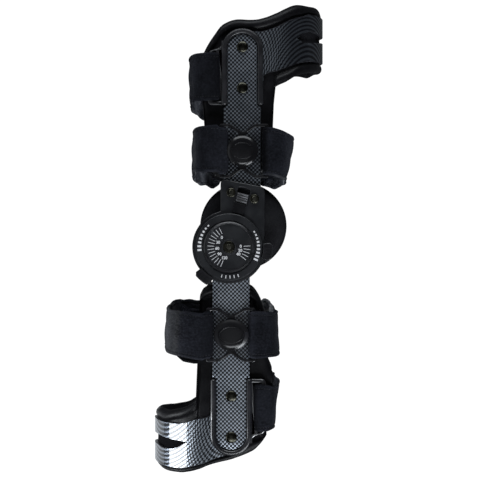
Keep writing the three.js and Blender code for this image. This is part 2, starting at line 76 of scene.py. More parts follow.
def makeFloor():
    half, level = studio["floorHalf"], studio["floorLevel"]
    corners = [(-half, -half, level), (half, -half, level), (half, half, level), (-half, half, level)]
    floor = bpy.data.meshes.new("floor")
    floor.from_pydata(corners, [], [(0, 1, 2, 3)])
    paper = bpy.data.materials.new("paperFloor")
    paper.use_nodes = True
    tree = paper.node_tree
    sockets = tree.nodes["Principled BSDF"].inputs
    for label, value in studio["paper"].items():
        sockets[label].default_value = value
    # the floor looks pale to the camera, and throws little light back on the black parts
    tree.links.new(tree.nodes.new("ShaderNodeLightPath").outputs["Is Camera Ray"], sockets["Emission Strength"])
    floor.materials.append(paper)
    newObject("floor", floor)


def makeStudio():
    cameraData = bpy.data.cameras.new("photoCamera")
    cameraData.lens, cameraData.sensor_width = studio["lens"], studio["sensor"]
    scene.camera = newObject("photoCamera", cameraData)
    scene.camera.location = studio["eye"]
    scene.view_settings.view_transform = "Standard"
    scene.world = bpy.data.worlds.new("studioSky")
    scene.world.use_nodes = True
    sky = scene.world.node_tree.nodes["Background"].inputs
    sky["Color"].default_value, sky["Strength"].default_value = (1, 1, 1, 1), studio["sky"]
    for name, (place, aim, size, watts) in studio["lights"].items():
        lamp = bpy.data.lights.new(name, "AREA")
        lamp.shape = "RECTANGLE"
        lamp.size, lamp.size_y = size
        lamp.energy, lamp.color = watts, studio["tint"]
        made = newObject(name, lamp)
        made.location, made.visible_camera = place, False
        made.rotation_euler = (Vector(aim) - Vector(place)).to_track_quat("-Z", "Y").to_euler()
    makeFloor()


makeStudio()
print("studio ready")


# Shader groups

def fill(tree, node, inputs):
    # each input is linked to a socket or given a value
    for key, value in inputs.items():
        if isinstance(value, bpy.types.NodeSocket):
            tree.links.new(value, node.inputs[key])
        else:
            node.inputs[key].default_value = value
    return node


def addNode(tree, kind, inputs=None, **settings):
    node = tree.nodes.new(kind)
    for key, value in settings.items():
        setattr(node, key, value)
    return fill(tree, node, inputs or {})


def sums(tree, operation, a, b=0.0):
    return addNode(tree, "ShaderNodeMath", {0: a, 1: b}, operation=operation).outputs[0]


def ramp(tree, value, low, high, toLow=0.0, toHigh=1.0):
    limits = {"Value": value, "From Min": low, "From Max": high, "To Min": toLow, "To Max": toHigh}
    return addNode(tree, "ShaderNodeMapRange", limits, interpolation_type="SMOOTHSTEP").outputs["Result"]


def mixColour(tree, factor, a, b):
    a, b = [(*value, 1) if isinstance(value, tuple) else value for value in (a, b)]
    return addNode(tree, "ShaderNodeMix", {0: factor, 6: a, 7: b}, data_type="RGBA").outputs[2]


def noise(tree, vector, scale, detail, **more):
    values = {"Vector": vector, "Scale": scale, "Detail": detail, **more}
    return addNode(tree, "ShaderNodeTexNoise", values).outputs["Fac"]


def attribute(tree, name):
    # a piece that has no such attribute reads nought
    return addNode(tree, "ShaderNodeAttribute", attribute_name=name).outputs["Fac"]


def scaled(tree, colour, more):
    # a colour made stronger by the share in more
    values = {0: colour, "Scale": sums(tree, "ADD", more, 1.0)}
    return addNode(tree, "ShaderNodeVectorMath", values, operation="SCALE").outputs["Vector"]


def newGroup(name, values, outputs):
    # every group reads a Vector and some plain values, and puts out plain values
    tree = bpy.data.node_groups.new(name, "ShaderNodeTree")
    tree.interface.new_socket("Vector", in_out="INPUT", socket_type="NodeSocketVector")
    for label, value in values.items():
        tree.interface.new_socket(label, in_out="INPUT", socket_type="NodeSocketFloat").default_value = value
    for label in outputs:
        tree.interface.new_socket(label, in_out="OUTPUT", socket_type="NodeSocketFloat")
    return tree, addNode(tree, "NodeGroupInput").outputs, addNode(tree, "NodeGroupOutput")


def makeMouldGrain():
    # fine spark texture of a moulded skin, and broad uneven tone
    tree, given, out = newGroup("mouldGrain", {"Scale": 900.0}, ["Height", "Mottle"])
    fine = noise(tree, given["Vector"], given["Scale"], 3.0)
    broad = noise(tree, given["Vector"], sums(tree, "MULTIPLY", given["Scale"], 0.06), 2.0)
    fill(tree, out, {"Height": fine, "Mottle": ramp(tree, broad, 0.3, 0.7)})
    return tree


def makeWeaveCells():
    # crossed tows in their own p, q counts; the second family fades out where the film was drawn
    tree, given, out = newGroup("weaveCells", {"Fade": 0.0}, ["Mask", "Height", "Drift"])
    part = addNode(tree, "ShaderNodeSeparateXYZ", {0: given["Vector"]}).outputs
    rowP, rowQ = [sums(tree, "COSINE", sums(tree, "MULTIPLY", part[axis], math.tau)) for axis in "XY"]
    share = sums(tree, "SUBTRACT", 1.0, given["Fade"])
    both = sums(tree, "ADD", rowP, sums(tree, "MULTIPLY", rowQ, share))
    value = sums(tree, "DIVIDE", both, sums(tree, "ADD", share, 1.0))
    drift = noise(tree, given["Vector"], 0.23, 2.0)
    fill(tree, out, {"Mask": ramp(tree, value, -0.15, 0.6), "Height": value, "Drift": ramp(tree, drift, 0.3, 0.7)})
    return tree


def makeBrushedNap():
    # short brushed loops lying mostly one way
    tree, given, out = newGroup("brushedNap", {"Scale": 700.0}, ["Height", "Fibre", "Mottle"])
    lay = addNode(tree, "ShaderNodeMapping", {"Vector": given["Vector"], "Scale": (0.7, 1.0, 0.8)})
    pile = noise(tree, lay.outputs["Vector"], given["Scale"], 5.0, Roughness=0.7)
    broad = noise(tree, given["Vector"], sums(tree, "MULTIPLY", given["Scale"], 0.07), 3.0)
    fill(tree, out, {"Height": pile, "Fibre": ramp(tree, pile, 0.35, 0.72), "Mottle": ramp(tree, broad, 0.32, 0.7)})
    return tree


def makeEdgeRub():
    # rubbed edges, broken up by noise
    tree, given, out = newGroup("edgeRub", {"From": 0.53, "To": 0.62}, ["Rub"])
    point = addNode(tree, "ShaderNodeNewGeometry").outputs["Pointiness"]
    limits = {"Value": point, "From Min": given["From"], "From Max": given["To"]}
    edge = addNode(tree, "ShaderNodeMapRange", limits).outputs["Result"]
    patch = ramp(tree, noise(tree, given["Vector"], 160.0, 4.0), 0.3, 0.75)
    fill(tree, out, {"Rub": sums(tree, "MULTIPLY", edge, patch)})
    return tree


def makeLint():
    # a few pale specks, as dust and lint sit on black cloth and plastic
    tree, given, out = newGroup("lintSpecks", {"Scale": 130.0}, ["Speck"])
    cells = addNode(tree, "ShaderNodeTexVoronoi", {"Vector": given["Vector"], "Scale": given["Scale"]}).outputs
    odds = addNode(tree, "ShaderNodeSeparateColor", {0: cells["Color"]}).outputs[0]
    dot = ramp(tree, cells["Distance"], 0.02, 0.09, 1.0, 0.0)
    fill(tree, out, {"Speck": sums(tree, "MULTIPLY", dot, ramp(tree, odds, 0.8, 0.95))})
    return tree


mouldGrain, weaveCells, brushedNap = makeMouldGrain(), makeWeaveCells(), makeBrushedNap()
edgeRub, lintSpecks = makeEdgeRub(), makeLint()


# Materials

def newMaterial(name, settings):
    material = bpy.data.materials.new(name)
    material.use_nodes = True
    tree = material.node_tree
    shader = fill(tree, tree.nodes["Principled BSDF"], settings)
    return material, tree, shader, addNode(tree, "ShaderNodeTexCoord").outputs["Object"]


def useGroup(tree, group, **inputs):
    return addNode(tree, "ShaderNodeGroup", inputs, node_tree=group).outputs


def bumped(tree, height, strength, distance):
    values = {"Height": height, "Strength": strength, "Distance": distance}
    return addNode(tree, "ShaderNodeBump", values).outputs["Normal"]


edgeTones = {"deep": (0.0055, 0.0056, 0.0070), "pale": (0.011, 0.0112, 0.014), "rub": (0.05, 0.051, 0.058),
             "grain": 1100.0, "bump": 0.08}
finishes = {
    "mouldedBlack": {"gloss": 0.34, "deep": (0.0055, 0.0055, 0.0065), "pale": (0.011, 0.011, 0.013),
                     "rub": (0.045, 0.045, 0.05), "rough": (0.3, 0.42), "grain": 1100.0, "bump": 0.10},
    "edgeBlack": {"gloss": 0.42, "rough": (0.26, 0.36), **edgeTones},
    # a much glossier copy of the black plastic, put where a painted highlight is wanted
    "highlightGloss": {"gloss": 1.0, "coat": 1.0, "rough": (0.22, 0.32), **edgeTones},
    "glossBlack": {"gloss": 0.19, "deep": (0.003, 0.003, 0.0036), "pale": (0.006, 0.006, 0.0068),
                   "rub": (0.03, 0.03, 0.034), "rough": (0.17, 0.27), "grain": 700.0, "bump": 0.04},
    "yokeBlack": {"gloss": 0.10, "deep": (0.0030, 0.0030, 0.0036), "pale": (0.006, 0.006, 0.0072),
                  "rub": (0.011, 0.011, 0.013), "rough": (0.45, 0.6), "grain": 1100.0, "bump": 0.12},
    "hingeGrey": {"gloss": 0.09, "deep": (0.0082, 0.0087, 0.0098), "pale": (0.0128, 0.0134, 0.0148),
                  "rub": (0.07, 0.072, 0.078), "rough": (0.42, 0.54), "grain": 1300.0, "bump": 0.14},
    "slideGrey": {"gloss": 0.3, "deep": (0.020, 0.0205, 0.022), "pale": (0.034, 0.035, 0.038),
                  "rub": (0.14, 0.14, 0.15), "rough": (0.4, 0.52), "grain": 1300.0, "bump": 0.10},
    "latchBlack": {"gloss": 0.09, "deep": (0.0028, 0.0028, 0.0034), "pale": (0.0055, 0.0055, 0.0064),
                   "rub": (0.02, 0.02, 0.023), "rough": (0.45, 0.6), "grain": 1300.0, "bump": 0.10},
    "shellBack": {"gloss": 0.3, "deep": (0.006, 0.006, 0.008), "pale": (0.012, 0.012, 0.015),
                  "rub": (0.04, 0.04, 0.045), "rough": (0.34, 0.48), "grain": 900.0, "bump": 0.08},
}
mould = {"wear": 0.7, "coatRough": 0.2, "bumpDepth": 0.0004, "dustScale": 90.0, "dustShare": 0.25,
         "dustTone": (0.2, 0.2, 0.2)}


def moulded(name):
    row = finishes[name]
    settings = {"Specular IOR Level": row["gloss"], "Coat Weight": row.get("coat", 0.0),
                "Coat Roughness": mould["coatRough"]}
    material, tree, shader, place = newMaterial(name, settings)
    skin = useGroup(tree, mouldGrain, Vector=place, Scale=row["grain"])
    worn = useGroup(tree, edgeRub, Vector=place)["Rub"]
    speck = useGroup(tree, lintSpecks, Vector=place, Scale=mould["dustScale"])["Speck"]
    tone = mixColour(tree, skin["Mottle"], row["deep"], row["pale"])
    tone = mixColour(tree, sums(tree, "MULTIPLY", worn, mould["wear"]), tone, row["rub"])
    tone = mixColour(tree, sums(tree, "MULTIPLY", speck, mould["dustShare"]), tone, mould["dustTone"])
    fill(tree, shader, {"Base Color": tone, "Roughness": ramp(tree, skin["Mottle"], 0.0, 1.0, *row["rough"]),
                        "Normal": bumped(tree, skin["Height"], row["bump"], mould["bumpDepth"])})
    return material


metals = {
    "darkBronze": {"deep": (0.016, 0.016, 0.0125), "pale": (0.038, 0.037, 0.029), "rub": (0.21, 0.205, 0.175),
                   "rough": (0.22, 0.34)},
    "plateSteel": {"deep": (0.03, 0.03, 0.033), "pale": (0.07, 0.07, 0.075), "rub": (0.25, 0.25, 0.26),
                   "rough": (0.34, 0.5)},
}
turned = {"grain": 1500.0, "rubFrom": 0.52, "rubTo": 0.6, "wear": 0.8, "bump": 0.05, "bumpDepth": 0.0003}


def turnedMetal(name):
    row = metals[name]
    material, tree, shader, place = newMaterial(name, {"Metallic": 1.0})
    skin = useGroup(tree, mouldGrain, Vector=place, Scale=turned["grain"])
    worn = useGroup(tree, edgeRub, Vector=place, From=turned["rubFrom"], To=turned["rubTo"])["Rub"]
    tone = mixColour(tree, skin["Mottle"], row["deep"], row["pale"])
    tone = mixColour(tree, sums(tree, "MULTIPLY", worn, turned["wear"]), tone, row["rub"])
    fill(tree, shader, {"Base Color": tone, "Roughness": ramp(tree, skin["Height"], 0.3, 0.7, *row["rough"]),
                        "Normal": bumped(tree, skin["Height"], turned["bump"], turned["bumpDepth"])})
    return material


film = {
    "gap": (0.0015, 0.0018, 0.0032), "gapFar": (0.003, 0.0035, 0.006), "tow": (0.25, 0.28, 0.32),
    "towFar": (0.34, 0.375, 0.42), "paintedShade": (0.07, 0.079, 0.10), "rough": (0.5, 0.34), "metal": (0.5, 0.95),
    "coat": (0.3, 0.42), "gloss": 0.2, "coatRough": 0.07, "coatIor": 1.5, "grain": 420.0, "paintedShadeShare": 0.85,
    "bump": 0.12, "bumpDepth": 0.0004,
}


def wovenFilm():
    # printed tows under a clear glossy skin
    settings = {"Specular IOR Level": film["gloss"], "Coat Roughness": film["coatRough"], "Coat IOR": film["coatIor"]}
    material, tree, shader, place = newMaterial("wovenFilm", settings)
    counts = addNode(tree, "ShaderNodeUVMap", uv_map="weave").outputs["UV"]
    fade = attribute(tree, "rowFade")
    cells = useGroup(tree, weaveCells, Vector=counts, Fade=fade)
    skin = useGroup(tree, mouldGrain, Vector=place, Scale=film["grain"])
    tow = mixColour(tree, cells["Drift"], film["tow"], film["towFar"])
    # painted shade: where the shell turns away, the tows are darkened towards a dark tone as far as the cross family
    # has faded
    tow = mixColour(tree, sums(tree, "MULTIPLY", fade, film["paintedShadeShare"]), tow, film["paintedShade"])
    # painted light and shade: the tow colour is made paler or darker by the attribute read here
    tow = scaled(tree, tow, attribute(tree, "paintedTowLight"))
    gap = mixColour(tree, cells["Drift"], film["gap"], film["gapFar"])
    coat = sums(tree, "ADD", ramp(tree, skin["Mottle"], 0.0, 1.0, *film["coat"]), attribute(tree, "glaze"))
    fill(tree, shader, {"Base Color": mixColour(tree, cells["Mask"], gap, tow),
                        "Roughness": ramp(tree, cells["Mask"], 0.0, 1.0, *film["rough"]),
                        "Metallic": ramp(tree, cells["Mask"], 0.0, 1.0, *film["metal"]),
                        "Coat Weight": coat, "Normal": bumped(tree, cells["Height"], film["bump"], film["bumpDepth"])})
    return material


cloths = {
    "strapNap": {"deep": (0.0020, 0.0022, 0.0031), "pale": (0.0130, 0.0138, 0.0180), "lint": (0.09, 0.092, 0.10),
                 "sheen": 0.03, "nap": 620.0, "bump": 0.8},
    "strapBack": {"deep": (0.012, 0.0128, 0.016), "pale": (0.064, 0.067, 0.077), "lint": (0.16, 0.16, 0.17),
                  "sheen": 0.02, "nap": 520.0, "bump": 0.9},
    "linerSkin": {"deep": (0.0018, 0.0018, 0.0023), "pale": (0.0048, 0.0047, 0.0058), "lint": (0.06, 0.06, 0.066),
                  "sheen": 0.01, "nap": 1300.0, "bump": 0.22, "gloss": 0.115, "rough": (0.38, 0.48)},
    "strapShade": {"deep": (0.0022, 0.0023, 0.0030), "pale": (0.010, 0.0104, 0.0125), "lint": (0.07, 0.07, 0.076),
                   "sheen": 0.01, "nap": 560.0, "bump": 0.8},
    "foamShade": {"deep": (0.0018, 0.0018, 0.0022), "pale": (0.0046, 0.0046, 0.0054), "lint": (0.02, 0.02, 0.022),
                  "sheen": 0.0, "nap": 800.0, "bump": 0.5},
    "foamPaintedLight": {"deep": (0.0075, 0.0075, 0.009), "pale": (0.018, 0.018, 0.021), "lint": (0.03, 0.03, 0.033),
                 "sheen": 0.0, "nap": 800.0, "bump": 0.5},
    "padSkin": {"deep": (0.0056, 0.0056, 0.0064), "pale": (0.0135, 0.0135, 0.015), "lint": (0.06, 0.06, 0.066),
                "sheen": 0.006, "nap": 1100.0, "bump": 0.4},
}
nap = {"gloss": 0.03, "rough": (0.78, 0.95), "sheenRough": 0.3, "sheenTint": (0.75, 0.78, 0.9, 1), "lintScale": 150.0,
       "fibre": 0.6, "mottle": 0.4, "lint": 0.5, "bumpDepth": 0.0006, "paintedLightGreyed": (0.2, 2.5, 0.0, 0.75)}


def napped(name):
    row = cloths[name]
    settings = {"Specular IOR Level": row.get("gloss", nap["gloss"]), "Sheen Weight": row["sheen"],
                "Sheen Roughness": nap["sheenRough"], "Sheen Tint": nap["sheenTint"]}
    material, tree, shader, place = newMaterial(name, settings)
    pile = useGroup(tree, brushedNap, Vector=place, Scale=row["nap"])
    speck = useGroup(tree, lintSpecks, Vector=place, Scale=nap["lintScale"])["Speck"]
    fibre = sums(tree, "MULTIPLY", pile["Fibre"], nap["fibre"])
    mottle = sums(tree, "MULTIPLY", pile["Mottle"], nap["mottle"])
    tone = mixColour(tree, sums(tree, "ADD", fibre, mottle), row["deep"], row["pale"])
    tone = mixColour(tree, sums(tree, "MULTIPLY", speck, nap["lint"]), tone, row["lint"])
    # painted light and shade laid on the straps: extra brightness as a share, below nought for painted shade
    clothLightShare = attribute(tree, "paintedClothLight")
    tone = scaled(tree, tone, clothLightShare)
    plain = addNode(tree, "ShaderNodeRGBToBW", {"Color": tone}).outputs["Val"]
    tone = mixColour(tree, ramp(tree, clothLightShare, *nap["paintedLightGreyed"]), tone, plain)  # strong painted light is greyed, so it reads as white light
    rough = ramp(tree, pile["Mottle"], 0.0, 1.0, *row.get("rough", nap["rough"]))
    fill(tree, shader, {"Base Color": tone, "Roughness": rough,
                        "Normal": bumped(tree, pile["Height"], row["bump"], nap["bumpDepth"])})
    return material


def plainTone(name, low, high, rough):
    material, tree, shader, place = newMaterial(name, {"Roughness": rough})
    skin = useGroup(tree, mouldGrain, Vector=place, Scale=2500.0)
    fill(tree, shader, {"Base Color": mixColour(tree, skin["Height"], low, high),
                        "Normal": bumped(tree, skin["Height"], 0.1, 0.0002)})
    return material


(mouldedBlack, edgeBlack, highlightGloss, glossBlack, yokeBlack,
 hingeGrey, slideGrey, latchBlack, shellBack) = [moulded(name) for name in finishes]
darkBronze, plateSteel = [turnedMetal(name) for name in metals]
strapNap, strapBack, linerSkin, strapShade, foamShade, foamPaintedLight, padSkin = [napped(name) for name in cloths]
filmFace = wovenFilm()
printWhite = plainTone("printWhite", (0.36, 0.36, 0.37), (0.56, 0.56, 0.57), 0.6)
darkThread = plainTone("darkThread", (0.003, 0.003, 0.0042), (0.009, 0.0095, 0.0125), 0.9)
print("materials:", len(bpy.data.materials))


# Mesh helpers

def rawMesh(name, points, faces):
    mesh = bpy.data.meshes.new(name)
    mesh.from_pydata([tuple(point) for point in points], [], [tuple(face) for face in faces])
    return mesh


def closeUp(mesh, merge=0.001):
    # faces turned outward, after points nearer than merge are joined
    work = bmesh.new()
    work.from_mesh(mesh)
    if merge:
        bmesh.ops.remove_doubles(work, verts=work.verts, dist=merge)
    bmesh.ops.recalc_face_normals(work, faces=work.faces)
    work.to_mesh(mesh)
    work.free()
    return mesh


def softened(corners, closed=True, steps=6):
    # corners are (x, y, ease): each corner is rounded over its own ease length
    made, count = [], len(corners)
    for i, (x, y, ease) in enumerate(corners):
        here = Vector((x, y))
        if ease <= 0 or (not closed and i in (0, count - 1)):
            made.append((x, y))
            continue
        before = Vector(corners[i - 1][:2]) - here
        after = Vector(corners[(i + 1) % count][:2]) - here
        a = here + before.normalized() * min(ease, before.length / 2)
        b = here + after.normalized() * min(ease, after.length / 2)
        for k in range(steps + 1):
            t = k / steps
            point = a * (1 - t) ** 2 + here * 2 * t * (1 - t) + b * t ** 2
            made.append((point.x, point.y))
    return made


def arc(radius, start, end, steps, x=0.0, y=0.0):
    angles = np.radians(np.linspace(start, end, steps + 1))
    return [(x + radius * math.cos(a), y + radius * math.sin(a)) for a in angles]


def circle(radius, sides, start=0.0):
    return arc(radius, start, start + 360, sides)[:-1]


def bakeMesh(holder):
    # the object's evaluated shape as a plain mesh
    return bpy.data.meshes.new_from_object(holder.evaluated_get(bpy.context.evaluated_depsgraph_get()))


def curveMesh(name, curve):
    holder = newObject(name, curve)
    made = bakeMesh(holder)
    bpy.data.objects.remove(holder)
    bpy.data.curves.remove(curve)
    made.materials.clear()
    return made


def addSplines(curve, paths):
    made = []
    for path in paths:
        spline = curve.splines.new("POLY")
        spline.points.add(len(path) - 1)
        for point, spot in zip(spline.points, path):
            point.co = (*spot, 0)[:3] + (1,)  # a flat path lies at w nought
        made.append(spline)
    return made


def slabMesh(name, loops, low, high, bevel, steps=3):
    # a flat outline with holes, given thickness and rounded edges
    curve = bpy.data.curves.new(name, "CURVE")
    curve.dimensions, curve.fill_mode = "2D", "BOTH"
    curve.extrude = (high - low) / 2 - bevel
    curve.bevel_depth, curve.bevel_resolution, curve.offset = bevel, steps, -bevel
    for spline in addSplines(curve, loops):
        spline.use_cyclic_u = True
    made = curveMesh(name, curve)
    made.transform(Matrix.Translation((0, 0, (low + high) / 2)))
    return closeUp(made)


def turnedMesh(name, profile, sides=72):
    # profile rows are (radius, w), spun round the w axis
    work = bmesh.new()
    rows = [work.verts.new((radius, 0, w)) for radius, w in profile]
    edges = [work.edges.new(pair) for pair in zip(rows, rows[1:])]
    bmesh.ops.spin(work, geom=rows + edges, axis=(0, 0, 1), cent=(0, 0, 0), steps=sides, angle=math.tau, use_merge=True)
    mesh = bpy.data.meshes.new(name)
    work.to_mesh(mesh)
    work.free()
    return closeUp(mesh)


def joinMeshes(name, meshes):
    work = bmesh.new()
    for mesh in meshes:
        work.from_mesh(mesh)
    made = bpy.data.meshes.new(name)
    work.to_mesh(made)
    work.free()
    for mesh in meshes:
        bpy.data.meshes.remove(mesh)
    return made


def spun(degrees):
    return Matrix.Rotation(math.radians(degrees), 4, "Z")


def settle(mesh, side, x=0.0, y=0.0, turn=0.0, about=0.0):
    # from a piece's own millimetres to its place on a flank, in metres; about turns it round the knee axis
    mesh.transform(spun(about) @ Matrix.Translation((x, y, 0)) @ spun(turn))
    mesh.transform(Matrix.Diagonal((0.001, 0.001, 0.001 * side, 1)))
    mesh.transform(Matrix.Translation((0, 0, midPlane / 1000)))
    if side < 0:
        mesh.flip_normals()
    return mesh


def addPiece(name, mesh, materials, body, slot, *nodes, sharp=35.0):
    mesh.name = name
    for material in materials:
        mesh.materials.append(material)
    mesh.shade_smooth()
    mesh.set_sharp_from_angle(angle=math.radians(sharp))
    piece = newObject(name, mesh)
    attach(piece, body)
    if nodes:
        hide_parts(*nodes)
    return piece


def faceMaterial(mesh, choose):
    for face in mesh.polygons:
        face.material_index = choose(face)


def pointValues(mesh, name, values):
    mesh.attributes.new(name, "FLOAT", "POINT").data.foreach_set("value", [float(value) for value in values])


def mapWeave(mesh, counts, fades):
    # tow counts for each vertex as a UV map, and how far the cross family has faded, which also sets the film's painted
    # shade
    layer = mesh.uv_layers.new(name="weave")
    for loop in mesh.loops:
        layer.data[loop.index].uv = counts[loop.vertex_index]
    pointValues(mesh, "rowFade", fades)


def easeTable(rows):
    # rows of (along, low, high) joined by curves that never overshoot
    table = np.array(rows, float)

    def slopes(x, y):
        h, d = np.diff(x), np.diff(y) / np.diff(x)
        m = np.zeros_like(y)
        for i in range(1, len(x) - 1):
            if d[i - 1] * d[i] > 0:
                a, b = 2 * h[i] + h[i - 1], h[i] + 2 * h[i - 1]
                m[i] = (a + b) / (a / d[i - 1] + b / d[i])
        m[0], m[-1] = d[0], 0.0
        return m

    x = table[:, 0]
    curves = [(table[:, k], slopes(x, table[:, k])) for k in (1, 2)]

    def read(at):
        i = int(np.clip(np.searchsorted(x, at) - 1, 0, len(x) - 2))
        h = x[i + 1] - x[i]
        t = (at - x[i]) / h
        return [(1 + 2 * t) * (1 - t) ** 2 * y[i] + t * (1 - t) ** 2 * h * m[i]
                + t * t * (3 - 2 * t) * y[i + 1] + t * t * (t - 1) * h * m[i + 1] for y, m in curves]

    return read


def readRow(rows, at):
    # rows of (place, value) joined by straight lines
    return np.interp(at, *zip(*rows))


def gridFaces(rows, ring):
    faces = []
    for i in range(rows - 1):
        for k in range(ring):
            n = (k + 1) % ring
            faces.append((i * ring + k, i * ring + n, (i + 1) * ring + n, (i + 1) * ring + k))
    return faces


def ringMesh(name, rx, ry, thick, w, sides=72, around=12):
    points = []
    for a in np.linspace(0, math.tau, sides, endpoint=False):
        for b in np.linspace(0, math.tau, around, endpoint=False):
            grow = thick * math.cos(b)
            points.append(((rx + grow) * math.cos(a), (ry + grow) * math.sin(a), w + thick * 0.7 * math.sin(b)))
    last = (sides - 1) * around
    seam = [(last + k, last + (k + 1) % around, (k + 1) % around, k) for k in range(around)]
    return closeUp(rawMesh(name, points, gridFaces(sides, around) + seam))


# Geometry Nodes trees for what repeats

def newNodes(name, values):
    tree = bpy.data.node_groups.new(name, "GeometryNodeTree")

    def socket(label, kind, way="INPUT"):
        return tree.interface.new_socket(label, in_out=way, socket_type="NodeSocket" + kind)

    socket("Geometry", "Geometry")
    ids = {}
    for label, value in values.items():
        made = socket(label, "Int" if isinstance(value, int) else "Float")
        made.default_value = value
        ids[label] = made.identifier
    ids["Material"] = socket("Material", "Material").identifier
    socket("Geometry", "Geometry", "OUTPUT")
    return tree, addNode(tree, "NodeGroupInput").outputs, addNode(tree, "NodeGroupOutput"), ids


def vector(tree, **parts):
    return addNode(tree, "ShaderNodeCombineXYZ", parts).outputs["Vector"]


def layOut(tree, given, out, points, instance, rotation, scale):
    # copies on points, made real and dressed
    laid = addNode(tree, "GeometryNodeInstanceOnPoints",
                   {"Points": points, "Instance": instance, "Rotation": rotation, "Scale": scale})
    real = addNode(tree, "GeometryNodeRealizeInstances", {"Geometry": laid.outputs["Instances"]})
    dressed = addNode(tree, "GeometryNodeSetMaterial",
                      {"Geometry": real.outputs["Geometry"], "Material": given["Material"]})
    fill(tree, out, {"Geometry": dressed.outputs["Geometry"]})


def makeStitchRun():
    # short thread loops laid end to end along a path
    tree, given, out, ids = newNodes("stitchRun", {"Pitch": 2.6, "Length": 1.9, "Thread": 0.28})
    path = {"Curve": given["Geometry"], "Length": given["Pitch"]}
    spaced = addNode(tree, "GeometryNodeResampleCurve", path, mode="LENGTH").outputs["Curve"]
    loop = addNode(tree, "GeometryNodeMeshUVSphere", {"Segments": 6, "Rings": 5, "Radius": 1.0}).outputs["Mesh"]
    size = vector(tree, X=given["Thread"], Y=given["Thread"], Z=sums(tree, "MULTIPLY", given["Length"], 0.5))
    tangent = addNode(tree, "GeometryNodeInputTangent").outputs["Tangent"]
    heading = addNode(tree, "FunctionNodeAlignRotationToVector", {"Vector": tangent}, axis="Z").outputs["Rotation"]
    layOut(tree, given, out, spaced, loop, heading, size)
    return tree, ids


def makeFanRun():
    # blocks set out round an axis by equal turns, each one longer by Growth
    tree, given, out, ids = newNodes("fanRun", {
        "Count": 5, "Start": 0.0, "Step": 0.17, "Inner": 10.0, "Length": 4.0, "Growth": 0.0,
        "Width": 0.6, "Depth": 0.1, "Height": 0.0})
    dots = addNode(tree, "GeometryNodePoints", {"Count": given["Count"]}).outputs[0]
    index = addNode(tree, "GeometryNodeInputIndex").outputs["Index"]
    turn = sums(tree, "ADD", given["Start"], sums(tree, "MULTIPLY", index, given["Step"]))
    reach = sums(tree, "ADD", given["Length"], sums(tree, "MULTIPLY", index, given["Growth"]))
    middle = sums(tree, "ADD", given["Inner"], sums(tree, "MULTIPLY", given["Length"], 0.5))
    x, y = [sums(tree, "MULTIPLY", sums(tree, wave, turn), middle) for wave in ("COSINE", "SINE")]
    spot = {"Geometry": dots, "Position": vector(tree, X=x, Y=y, Z=given["Height"])}
    moved = addNode(tree, "GeometryNodeSetPosition", spot).outputs["Geometry"]
    block = addNode(tree, "GeometryNodeMeshCube", {"Size": (1.0, 1.0, 1.0)}).outputs["Mesh"]
    size = vector(tree, X=reach, Y=given["Width"], Z=given["Depth"])
    layOut(tree, given, out, moved, block, vector(tree, Z=turn), size)
    return tree, ids


def makeRibRun():
    # straight ribs side by side, each a rounded bar
    tree, given, out, ids = newNodes("ribRun", {
        "Count": 4, "Pitch": 2.0, "Width": 10.0, "Thickness": 0.5, "Height": 0.0})
    spread = sums(tree, "MULTIPLY", sums(tree, "SUBTRACT", given["Count"], 1.0), given["Pitch"])
    start = vector(tree, Y=sums(tree, "MULTIPLY", spread, -0.5), Z=given["Height"])
    steps = {"Count": given["Count"], "Start Location": start, "Offset": vector(tree, Y=given["Pitch"])}
    line = addNode(tree, "GeometryNodeMeshLine", steps).outputs["Mesh"]
    bar = addNode(tree, "GeometryNodeMeshCylinder", {"Vertices": 12, "Radius": 1.0, "Depth": 1.0}).outputs["Mesh"]
    size = vector(tree, X=given["Thickness"], Y=given["Thickness"], Z=given["Width"])
    layOut(tree, given, out, line, bar, (0.0, math.pi / 2, 0.0), size)
    return tree, ids


stitchRun, fanRun, ribRun = makeStitchRun(), makeFanRun(), makeRibRun()


def runNodes(name, source, nodes, values):
    # source is the data to start from; the result is a plain mesh without materials
    tree, ids = nodes
    holder = newObject(name, source)
    modifier = holder.modifiers.new(name, "NODES")
    modifier.node_group = tree
    for label, value in values.items():
        modifier[ids[label]] = value
    made = bakeMesh(holder)
    holder.modifiers.remove(modifier)
    bpy.data.objects.remove(holder)
    made.materials.clear()
    return made


def fanMesh(material, start, step, **values):
    # start and step in degrees
    values.update({"Start": math.radians(start), "Step": math.radians(step), "Material": material})
    return runNodes("fan", bpy.data.meshes.new("start"), fanRun, values)


# Side bars
bars = {
    "halfWidth": 16.7, "endHalfWidth": 13.5, "shoulder": 2.0, "legLength": 50.5, "edge": 0.6, "tow": 3.65,
    "headRadius": 27.0, "filmFrom": 0.4,
    "thigh": {"x": 12.0, "end": 178.2, "foot": 34.0, "up": 1},
    "calf": {"x": 2.0, "end": -169.3, "foot": -13.5, "up": -1},
    # painted light and shade on the bars' film as (y, how much paler): painted shadow beside the buttons, paler or
    # darker elsewhere as the light falls
    "shade": [(-99, 0.2), (-94, -0.5), (-60.5, -0.62), (-57, 0.2), (-30, 0.5), (0, 0.5), (34, -0.25), (70, -0.2),
              (77, -0.6), (95, -0.6), (102, -0.18), (125, -0.18), (180, 0.3)],
}


def barLoop(row):
    up, x, end = row["up"], row["x"], row["end"]
    shoulder = end - up * bars["legLength"]
    right = [(x + bars["halfWidth"], y) for y in np.linspace(row["foot"], shoulder - up * bars["shoulder"], 36)]
    right += [(x + bars["endHalfWidth"], y) for y in np.linspace(shoulder, end, 8)[:-1]]
    crown = arc(bars["endHalfWidth"], 0, 180 * up, 40, x, end)
    return right + crown + [(2 * x - px, py) for px, py in reversed(right)]


